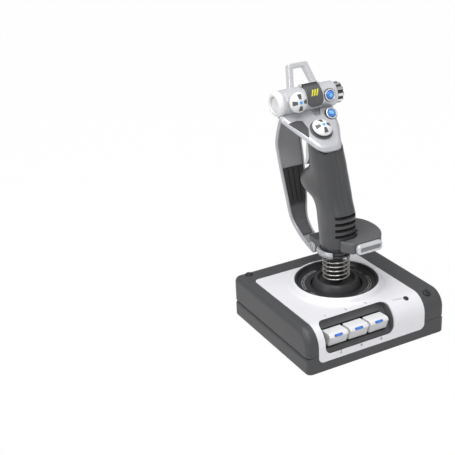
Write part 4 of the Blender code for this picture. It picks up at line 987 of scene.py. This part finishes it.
def makeBezel(name, place, low, high):
    ring = [(button["radius"] + 0.25, low), (6.5, low), (6.5, high - 0.4), (6.35, high + 0.1),
            (5.9, high + 0.4),
            (5.4, high + 0.4), (button["radius"] + 0.25, high - 0.2)]
    handOver(turned(name, ring, place, 64, True), "grip", "silver_plastic", ringSilver)
    seat = [(6.55, low), (7.05, low), (7.05, high - 0.7), (6.55, high - 0.7)]
    handOver(turned(f"{name}_seat", seat, place, 64, True), "grip", "dark_plastic", blackPlastic)


def makeNeck():
    front = roundOff([(-42, 67, 0), (-40, 53.8, 6), (-15.3, 5.2, 17), (9.6, 5.2, 11), (22, 38.5, 25),
                      (27.5, 67, 0)], 12)
    back = roundOff([(-38.2, 65.2, 0), (-35.6, 53.2, 6), (-11.3, 5.6, 15), (10.8, 5.6, 11), (24.8, 36.5, 25),
                     (30.3, 65.2, 0)], 12)
    layers = [[(x, y, -neck["thick"]) for x, y in back]]
    for height, shrink in ((-5.0, -0.2), (-4.2, 0), (-3.2, -0.12), (-2.2, -0.55), (-1.4, -1.2), (-0.75, -2.0),
                           (-0.3, -3.0),
                           (-0.08, -4.0), (0, -5.0)):
        layers.append([(x, y, height) for x, y in grown(front, shrink)])
    rings = [[tuple(neckPlace @ (Vector(point) * mm) / mm) for point in layer] for layer in layers]
    recess = roundOff([(-35.8, 48.4, 0.4), (-22.4, 25.2, 0.6), (-17.4, 36.8, 1.5), (-19, 48.2, 1.5),
                       (-26, 49.6, 1.5)], 5)
    face = skinned("neck_face", rings)
    step = roundOff([(-2.2, 62, 0), (-2.1, 50.6, 1.5), (5.2, 50.6, 1.5), (9.7, 62, 0)], 4)
    cutAway(face, barrelCore(), prism("cutter", recess, -3.2, 6, neckPlace),
            prism("cutter", step, -3.5, 6, neckPlace),
            turned("cutter", [(5.8, -20), (5.8, 20)], hat2Place, 48), turned("cutter",
                                                                             [(8.2, -20),
                                                                              (8.2, -2.6)], hat2Place, 48),
            turned("cutter", [(button["radius"] + hair, -20), (button["radius"] + hair, 20)], buttonBPlace, 48))
    soften(face, 0.35, 2, 50)
    handOver(face, "grip", "silver_plastic", neckSilverShaded, "neck_plate")
    inlay = prism("neck_inlay", grown(recess, -hair), -2.9, -0.5, neckPlace, 0.3, 2)
    handOver(inlay, "grip", "dark_plastic", panelGrey, "neck_recess_panel")
    skirt = [(6.6, 0.3), (12.8, 0.3), (12.75, 0.6), (12.4, 0.9), (6.6, 0.9)]
    handOver(turned("hat_2_skirt", skirt, hat2Place, 80, True), "grip", "dark_plastic", bezelPlastic,
             "hat_2_bezel")
    makeHat("hat_2", hat2Place, 3.2, -7.5)
    makeBezel("button_b_ring", buttonBPlace, -4.4, 1.0)
    # the lighter centre of this button's lens, in colour and glow, is a painted highlight
    glow = litLens("buttonBlueB", (0.003, 0.11, 0.52), (0.22, 0.60, 0.93), buttonBPlace, 2.8, 0.12)
    makeButton("button_b", buttonBPlace, -6, 0.8, button["radius"], glow, "blue_lens")


cover = {"half": 9.3, "tilt": 84, "inside": 15.4, "outside": 16.8, "sweep": 101, "corner": 6}
hingePlace = spoke(0, cover["tilt"])
hingeOut = barrel["radius"] + 1.2
pinSpot = (hingePlace @ (Vector((0, 0, hingeOut)) * mm)) / mm


def hazardCover():                  # dark flap with plain slanted yellow stripes across its middle, and painted shade that darkens it to near black towards the hinge
    look = Finish("hazardCover", 0.45)
    x, y, z = look.axes()
    cloud = look.noise(80, 3)
    speck = look.noise(1500, 2)
    wrap = look.start.maths("ARCTAN2", (barrel["y"] * mm) - y, z - barrel["z"] * mm)      # 0 over the barrel's top
    along = wrap * (cover["outside"] * mm)
    across, above = y - barrel["y"] * mm, z - barrel["z"] * mm
    outside = across * across + above * above > ((cover["outside"] - 0.3) * mm) ** 2
    slant = x + (along - 0.0165) * 0.5
    band = (along > 0.0130) * (along < 0.0200) * (look.start.maths("ABSOLUTE", slant) < 0.0045)
    stripe = look.start.maths("ABSOLUTE", look.start.maths("FRACT", slant / 0.0030 + 0.5) - 0.5) < 0.29
    worn = look.noise(900, 4, roughness=0.7)
    # painted shade: near the hinge the plain colour fades to near black
    hingeShade = look.start.node("ShaderNodeMapRange", {}, {"Value": along, "From Min": 0.009, "From Max": 0.003})
    plain = look.blend(cloud * 0.5 + speck * 0.5, (0.080, 0.080, 0.084), (0.115, 0.115, 0.12))
    paint = look.blend(worn, (0.66, 0.62, 0.025), (0.78, 0.74, 0.035))
    look.feed("Base Color", look.blend(band * stripe * outside,
                                       look.blend(hingeShade, plain, (0.022, 0.022, 0.024)), paint))
    look.feed("Roughness", 0.28 + speck * 0.14)
    look.grain(speck, 0.02)
    return look.material


def makeCover():
    start = 90 - cover["tilt"] + 3
    rings = []
    count = 40
    length = math.radians(cover["sweep"]) * cover["outside"]
    for k in range(count + 1):
        along = length * k / count
        near = max(along - (length - cover["corner"]), 0)
        half = cover["half"] - cover["corner"] + math.sqrt(max(cover["corner"] ** 2 - near ** 2, 0.3))
        angle = math.radians(start + cover["sweep"] * k / count)
        lip = barrel["radius"] + 0.4 if 0.12 < k / count < 0.9 else cover["inside"]
        section = roundOff([(lip, -half, 0.2), (cover["outside"], -half, 0.6), (cover["outside"], half, 0.6),
                            (lip, half, 0.2),
                            (lip, half - 1.2, 0), (cover["inside"], half - 1.3, 0), (cover["inside"],
                                                                                     -half + 1.3, 0),
                            (lip, -half + 1.2, 0)], 3)
        rings.append([tuple(barrelPlace @ (Vector((r * math.cos(angle), r * math.sin(angle), x)) * mm) / mm)
                      for r, x in section])
    flap = skinned("cover_flap", rings)
    half = Vector((cover["half"], 0, 0))
    joinTo(flap, rod("eye", pinSpot - half, pinSpot + half, 1.8, 40))
    cutAway(flap, rod("cutter", pinSpot - half * 2, pinSpot + half * 2, 1.1, 24))
    handOver(flap, "safety_cover", "dark_plastic", hazardCover(), "safety_cover", angle=50)


def chromeDial():                   # black dial whose raised bars are bright
    look = Finish("chromeDial", 0.3)
    x, y, z = look.axes()
    out = look.start.maths("SQRT", (y - barrel["y"] * mm) * (y - barrel["y"] * mm)
                           + (z - barrel["z"] * mm) * (z - barrel["z"] * mm))
    bar = (out > 0.01135) * (x > (barrel["right"] + 1.2) * mm) * (x < (barrel["right"] + 7.9) * mm)
    speck = look.noise(1200, 2)
    dark = look.blend(speck, (0.022, 0.022, 0.024), (0.05, 0.05, 0.053))
    look.feed("Base Color", look.blend(bar, dark, (0.80, 0.80, 0.82)))
    look.feed("Metallic", bar * 0.9)
    look.feed("Roughness", 0.42 - bar * 0.2 + speck * 0.1)
    return look.material


def makeDial():
    near, length = barrel["right"] + hair, 8.8
    rings = []
    for x, scale in ((near, 0.9), (near + 0.3, 0.96), (near + 0.9, 1), (near + length - 1.6, 1),
                     (near + length - 0.6, 0.97),
                     (near + length - 0.15, 0.92), (near + length, 0.86)):
        ring = []
        for i in range(160):
            part = i % 16
            high = min(max((4.6 - abs(part - 7.5)) / 1.2, 0), 1)
            radius = scale * (10.8 + high)
            ring.append(tuple(barrelPlace @ (Vector((radius * math.cos(math.tau * i / 160),
                                                     radius * math.sin(math.tau * i / 160), x)) * mm) / mm))
        rings.append(ring)
    wheel = skinned("dial_wheel", rings)
    joinTo(wheel, turned("hub", [(5, barrel["right"] - 6), (5, near + 2)], barrelPlace, 40))
    cutAway(wheel, turned("cutter", [(6.8, near + length - 0.9), (7.4, near + length + 2)], barrelPlace, 64))
    soften(wheel, 0.2, 2, 50)
    handOver(wheel, "mode_dial", "dark_plastic", chromeDial(), "mode_dial")


def makeBarrel():
    outer, inner = barrel["radius"], barrel["radius"] - barrel["wall"]
    left, right = barrel["left"], barrel["right"]
    profile = [(outer - 0.4, left), (outer, left + 0.4), (outer, left + 4.0), (outer - 0.35, left + 4.2),
               (outer - 0.35, left + 4.7), (outer, left + 4.9), (outer, right - 1.2), (outer - 0.4,
                                                                                       right - 0.3),
               (outer - 1.2, right), (5.4, right), (5.4, right - 2.5), (inner, right - 2.5), (inner, left)]
    tube = turned("head_tube", profile, barrelPlace, 112, True)
    for side in (-1, 1):
        x = sorted((side * (cover["half"] + 0.5), side * (cover["half"] + 3)))
        lug = roundOff([(-2.3, inner + 1, 0), (2.3, inner + 1, 0), (2.3, hingeOut + 1.8, 1.6),
                        (-2.3, hingeOut + 1.8, 1.6)], 6)
        joinTo(tube, prism("lug", lug, x[0], x[1], hingePlace @ alongX, 0.3, 2))
    notch = Vector((cover["half"] + 0.4, 0, 0))
    ends = [pinSpot + Vector((side * 16, 0, 0)) for side in (-1, 1)]
    cutAway(tube, rod("cutter", pinSpot - notch, pinSpot + notch, 2.3, 40),
            turned("cutter", [(5.8, 5), (5.8, 30)], hat1Place, 48),
            turned("cutter", [(button["radius"] + hair, 5), (button["radius"] + hair, 30)], buttonAPlace, 48),
            turned("cutter", [(4.5, 5), (4.5, 16)], spoke(0, 30), 48), rod("cutter", *ends, 1.1, 24))
    soften(tube, 0.25, 2, 50)
    handOver(tube, "grip", "silver_plastic", headSilver, "head_barrel")
    makeHat("hat_1", hat1Place, outer + 2.4, outer - 8)
    makeBezel("button_a_ring", buttonAPlace, inner + 1.5, 15.2)
    # the lighter centre of this button's lens, in colour and glow, is a painted highlight
    glow = litLens("buttonBlueA", (0.003, 0.11, 0.52), (0.22, 0.60, 0.93), buttonAPlace, 2.8, 0.12)
    makeButton("button_a", buttonAPlace, inner - 1.5, 15, button["radius"], glow, "blue_lens")
    makeButton("launch_button", spoke(0, 30), inner - 1.5, 14, 4.2, redButton, "red_plastic", 0.9)

    end = left - hair
    cap = [(outer, end), (outer, end - 1.0), (13.85, end - 1.9), (13.4, end - 3.0), (12.6, end - 4.1),
           (11.5, end - 4.85),
           (10.3, end - 5.2), (9.5, end - 5.15), (8.9, end - 4.8), (8.6, end - 4.2), (8.5, end)]
    handOver(turned("end_dome", cap, barrelPlace, 96, True), "grip", "white_plastic", whitePlastic,
             "barrel_end_cap")
    knob = [(8.2, end + 3.0), (8.2, end - 2.3), (8.05, end - 2.8), (7.6, end - 3.2), (7.0, end - 3.4),
            (5.0, end - 3.25),
            (3.0, end - 3.05), (1.0, end - 3.0)]
    handOver(turned("end_button", knob, barrelPlace, 80), "button_c", "white_plastic", rockerWhite, "button_c")


def makeLoop():
    place = standAt((0, 65, 261), (0, -0.887, 0.463))
    bar = roundOff([(-20, -8, 0), (-14, -8, 0), (-7, 21, 1.5), (7, 21, 1.5), (14, -8, 0), (20, -8, 0),
                    (11.8, 26.2, 3),
                    (-11.8, 26.2, 3)], 6)
    loop = prism("carry_loop", bar, -4, 4, place, 1.2, 4)
    cutAway(loop, barrelCore())
    handOver(loop, "grip", "silver_plastic", headSilver, "top_loop")


makeNeck()
makeBarrel()
makeCover()
makeDial()
makeLoop()
print("head done")


# hand guard

guard = {"depth": 6, "rim": 2, "floor": 3, "steps": 6,
         "rows": ((62, 247, 14), (80, 234, 16), (90, 220.5, 16.5), (97, 204, 16.5), (100.3, 189, 16.5),
                  (96.6, 172, 16.2),
                  (92.8, 156, 15.5), (88.6, 139, 14.5), (85.2, 122, 13), (83.2, 109, 11.6), (79.6, 99.3, 10.6),
                  (73.5, 92.5, 9.8), (66, 86.6, 9.2), (57, 81.8, 9), (47.5, 78.3, 9), (39, 76.3, 9))}
def ribbedPad():                    # near black where it is ribbed, charcoal below
    look = Finish("ribbedPad", 0.55)
    x, y, z = look.axes()
    low = look.start.node("ShaderNodeMapRange", {}, {"Value": z, "From Min": 0.121, "From Max": 0.115})
    dust = look.noise(300, 5, roughness=0.7)
    stipple = look.noise(1900, 2)
    black = look.blend(dust, (0.016, 0.016, 0.017), (0.036, 0.036, 0.038))
    plain = look.blend(dust, (0.085, 0.085, 0.09), (0.12, 0.12, 0.125))
    look.feed("Base Color", look.blend(low, black, plain))
    look.feed("Roughness", 0.42 + dust * 0.2)
    look.grain(stipple, 0.03)
    return look.material


pads = {"top": 222, "split": 160, "ribEnd": 118, "bottom": 84, "thick": 1.2, "rib": 1.2, "ribs": 4}


def guardStations():
    path = smoothRows(guard["rows"], guard["steps"])
    stations = []
    for i, row in enumerate(path):
        ahead, back = path[min(i + 1, len(path) - 1)], path[max(i - 1, 0)]
        along = Vector((ahead.x - back.x, ahead.y - back.y)).normalized()
        stations.append(Vector((row.x, row.y, along.y, -along.x, row.z)))
    return stations


def guardSpan(stations, high, low):
    span = []
    for here, ahead in zip(stations, stations[1:]):
        if low < here[1] < high:
            span.append(here)
        for height in (high, low):
            if here[1] > height >= ahead[1]:
                span.append(here.lerp(ahead, (here[1] - height) / (here[1] - ahead[1])))
    return span


def guardRing(station, section):
    y, z, inY, inZ, half = station
    return [(x, y + inY * depth, z + inZ * depth) for x, depth in section]


def makeGuard():
    stations = guardStations()
    rings = []
    for station in stations:
        half, depth, floor = station[4], guard["depth"], guard["floor"]
        lip = half - guard["rim"]
        section = roundOff([(-half, 0, 1.8), (half, 0, 1.8), (half, depth, 0.9), (lip, depth, 0.6),
                            (lip, floor, 0.5),
                            (-lip, floor, 0.5), (-lip, depth, 0.6), (-half, depth, 0.9)], 3)
        rings.append(guardRing(station, section))
    band = skinned("guard_band", rings)
    y, z = eye["y"], eye["z"]
    joinTo(band, turned("eye", [(eye["radius"] - 0.6, -eye["half"]), (eye["radius"], -eye["half"] + 0.6),
                                (eye["radius"], eye["half"] - 0.6), (eye["radius"] - 0.6, eye["half"])],
                        standAt((0, y, z), (1, 0, 0)), 64))
    cutAway(band, barrelCore(), rod("cutter", (-20, y, z), (20, y, z), 2.3, 32),
            rod("cutter", (-20, y, z), (-eye["half"] + 1.6, y, z), 3.8, 48))
    handOver(band, "grip", "silver_plastic", guardSilverShaded, "hand_guard", angle=40)

    screwPlace = standAt((-eye["half"] + 1.3, y, z), (-1, 0, 0))
    screw = turned("guard_bolt", [(2.0, -16), (2.0, 0), (3.5, 0), (3.5, 0.6), (3.2, 0.9), (2.4, 1.0)],
                   screwPlace, 48)
    cutAway(screw, *[prism("cutter", roundBox(-2.2, -0.35, 2.2, 0.35, 0.2, 2), 0.35, 3,
                           screwPlace @ Matrix.Rotation(turn, 4, "Z")) for turn in (0.4, 0.4 + math.pi / 2)])
    handOver(screw, "grip", "dark_plastic", pinSteel, "guard_screw")

    floor = guard["floor"] + hair
    for name, node, finish, slotName, high, low, ribs in (
            ("pad_upper", "guard_upper_pad", padGreyShaded, "grey_pad", pads["top"], pads["split"] + hair, 0),
            ("pad_lower", "guard_lower_pad", ribbedPad(), "dark_plastic", pads["split"] - hair,
             pads["bottom"], pads["ribs"])):
        rings = []
        for station in guardSpan(stations, high, low):
            half = station[4] - guard["rim"] - hair
            rise = pads["rib"] * min(max((station[1] - pads["ribEnd"]) / 3, 0), 1)
            section = [(-half, floor), (half, floor)]
            for k in range(41):
                x = half * (1 - k / 20)
                edge = 0.35 * max(abs(x) - half + 1, 0) ** 2
                wave = rise * 1.5 * abs(math.sin(math.pi * ribs * k / 40)) ** 0.6 if ribs else 0.3 * (1 - (x / half) ** 2)
                section.append((x, floor + pads["thick"] + wave - edge))
            rings.append(guardRing(station, section))
        handOver(skinned(name, rings), "grip", slotName, finish, node, angle=45)


makeGuard()
print("guard done")


# kept CAD nodes

def boardGreen():
    look = Finish("boardGreen", 0.45)
    x, y, z = look.axes()
    lines = look.start.maths("FRACT", x / 0.004) < 0.25
    cross = look.start.maths("FRACT", y / 0.006) < 0.18
    cloud = look.noise(200, 3)
    look.feed("Base Color", look.blend((lines + cross) * cloud, (0.01, 0.09, 0.035), (0.03, 0.20, 0.08)))
    look.feed("Roughness", 0.35 + cloud * 0.2)
    return look.material


for nodes, finish in ((("gimbal_post",), innerGrey), (("circuit_board",), boardGreen()),
                      (("gimbal_cross", "trigger_pin", "cover_pin"), pinSteel),
                      (("stick_shaft", "switch_axle", "hat_1_gimbal_ring", "hat_2_gimbal_ring"), blackPlastic)):
    for node in nodes:
        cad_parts[node].data.materials.clear()
        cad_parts[node].data.materials.append(finish)


# stage

studio = {"floor": (0.66, 0.66, 0.665), "world": 0.30, "white": 0.985, "top": 30, "key": 8, "side": 7,
          "fill": 2.0}


def paleFloor():
    look = Finish("paleFloor", 0.9)
    cloud = look.noise(3, 2)
    look.feed("Base Color", look.blend(cloud, shade(studio["floor"], 0.99), shade(studio["floor"], 1.01)))
    path = look.start.node("ShaderNodeLightPath", {}, {}, "Is Camera Ray")
    glossy = Wire(look.tree, path.socket.node.outputs["Is Glossy Ray"])
    clear = Wire(look.tree, path.socket.node.outputs["Is Transmission Ray"])
    glow = look.start.node("ShaderNodeEmission", {}, {"Color": (1, 1, 1, 1), "Strength": 1.0})
    seen = look.start.maths("MINIMUM", path + glossy + clear, 1.0) * studio["white"]
    mix = look.start.node("ShaderNodeMixShader", {}, {0: seen, 1: Wire(look.tree, look.shader.outputs[0]),
                                                      2: glow})
    out = look.tree.nodes["Material Output"]
    look.tree.links.new(mix.socket, out.inputs["Surface"])
    return look.material


def makeStage():
    clearPicks()
    bpy.ops.mesh.primitive_plane_add(size=16, location=(0, 0, cadBox[0][2]))
    floor = bpy.context.object
    floor.name = "studio_floor"
    settle(floor, Matrix())
    floor.data.materials.append(paleFloor())
    for name, energy, spot, size in (("topBox", studio["top"], (-0.35, -0.15, 1.7), 1.5),
                                     ("keyBox", studio["key"], (-0.75, -1.5, 1.5), 0.7),
                                     ("sideBox", studio["side"], (-1.8, -0.2, 0.85), 0.4),
                                     ("fillBox", studio["fill"], (1.2, -1.4, 0.7), 1.2)):
        lamp = bpy.data.lights.new(name, "AREA")
        lamp.energy = energy
        lamp.size = size
        holder = bpy.data.objects.new(name, lamp)
        bpy.context.collection.objects.link(holder)
        holder.location = spot
        holder.rotation_euler = (Vector((0, 0, 0.13)) - Vector(spot)).to_track_quat("-Z", "Y").to_euler()
    world = bpy.data.worlds.new("studioWorld")
    world.use_nodes = True
    bpy.context.scene.world = world
    back = world.node_tree.nodes["Background"]
    back.inputs["Color"].default_value = (1, 1, 1, 1)
    path = Wire(world.node_tree).node("ShaderNodeLightPath", {}, {}, "Is Camera Ray")
    level = path * (studio["white"] - studio["world"]) + studio["world"]
    world.node_tree.links.new(level.socket, back.inputs["Strength"])
    bpy.context.scene.view_settings.view_transform = "Standard"


def makeCamera():
    shot = bpy.data.cameras.new("photoCamera")
    shot.sensor_width = 36
    shot.lens = 964.16 / 455 * 36
    shot.clip_end = 50
    holder = bpy.data.objects.new("photoCamera", shot)
    bpy.context.collection.objects.link(holder)
    right, up, ahead = (Vector((0.88480, -0.46323, -0.05049)), Vector((0.22978, 0.33948, 0.91212)),
                        Vector((0.40538, 0.81864, -0.40681)))
    view = Matrix((right, up, -ahead)).transposed().to_4x4()
    view.translation = Vector((-530.69, -805.53, 550.91)) * mm
    holder.matrix_world = view
    bpy.context.scene.camera = holder


makeStage()
makeCamera()
print("stage done")
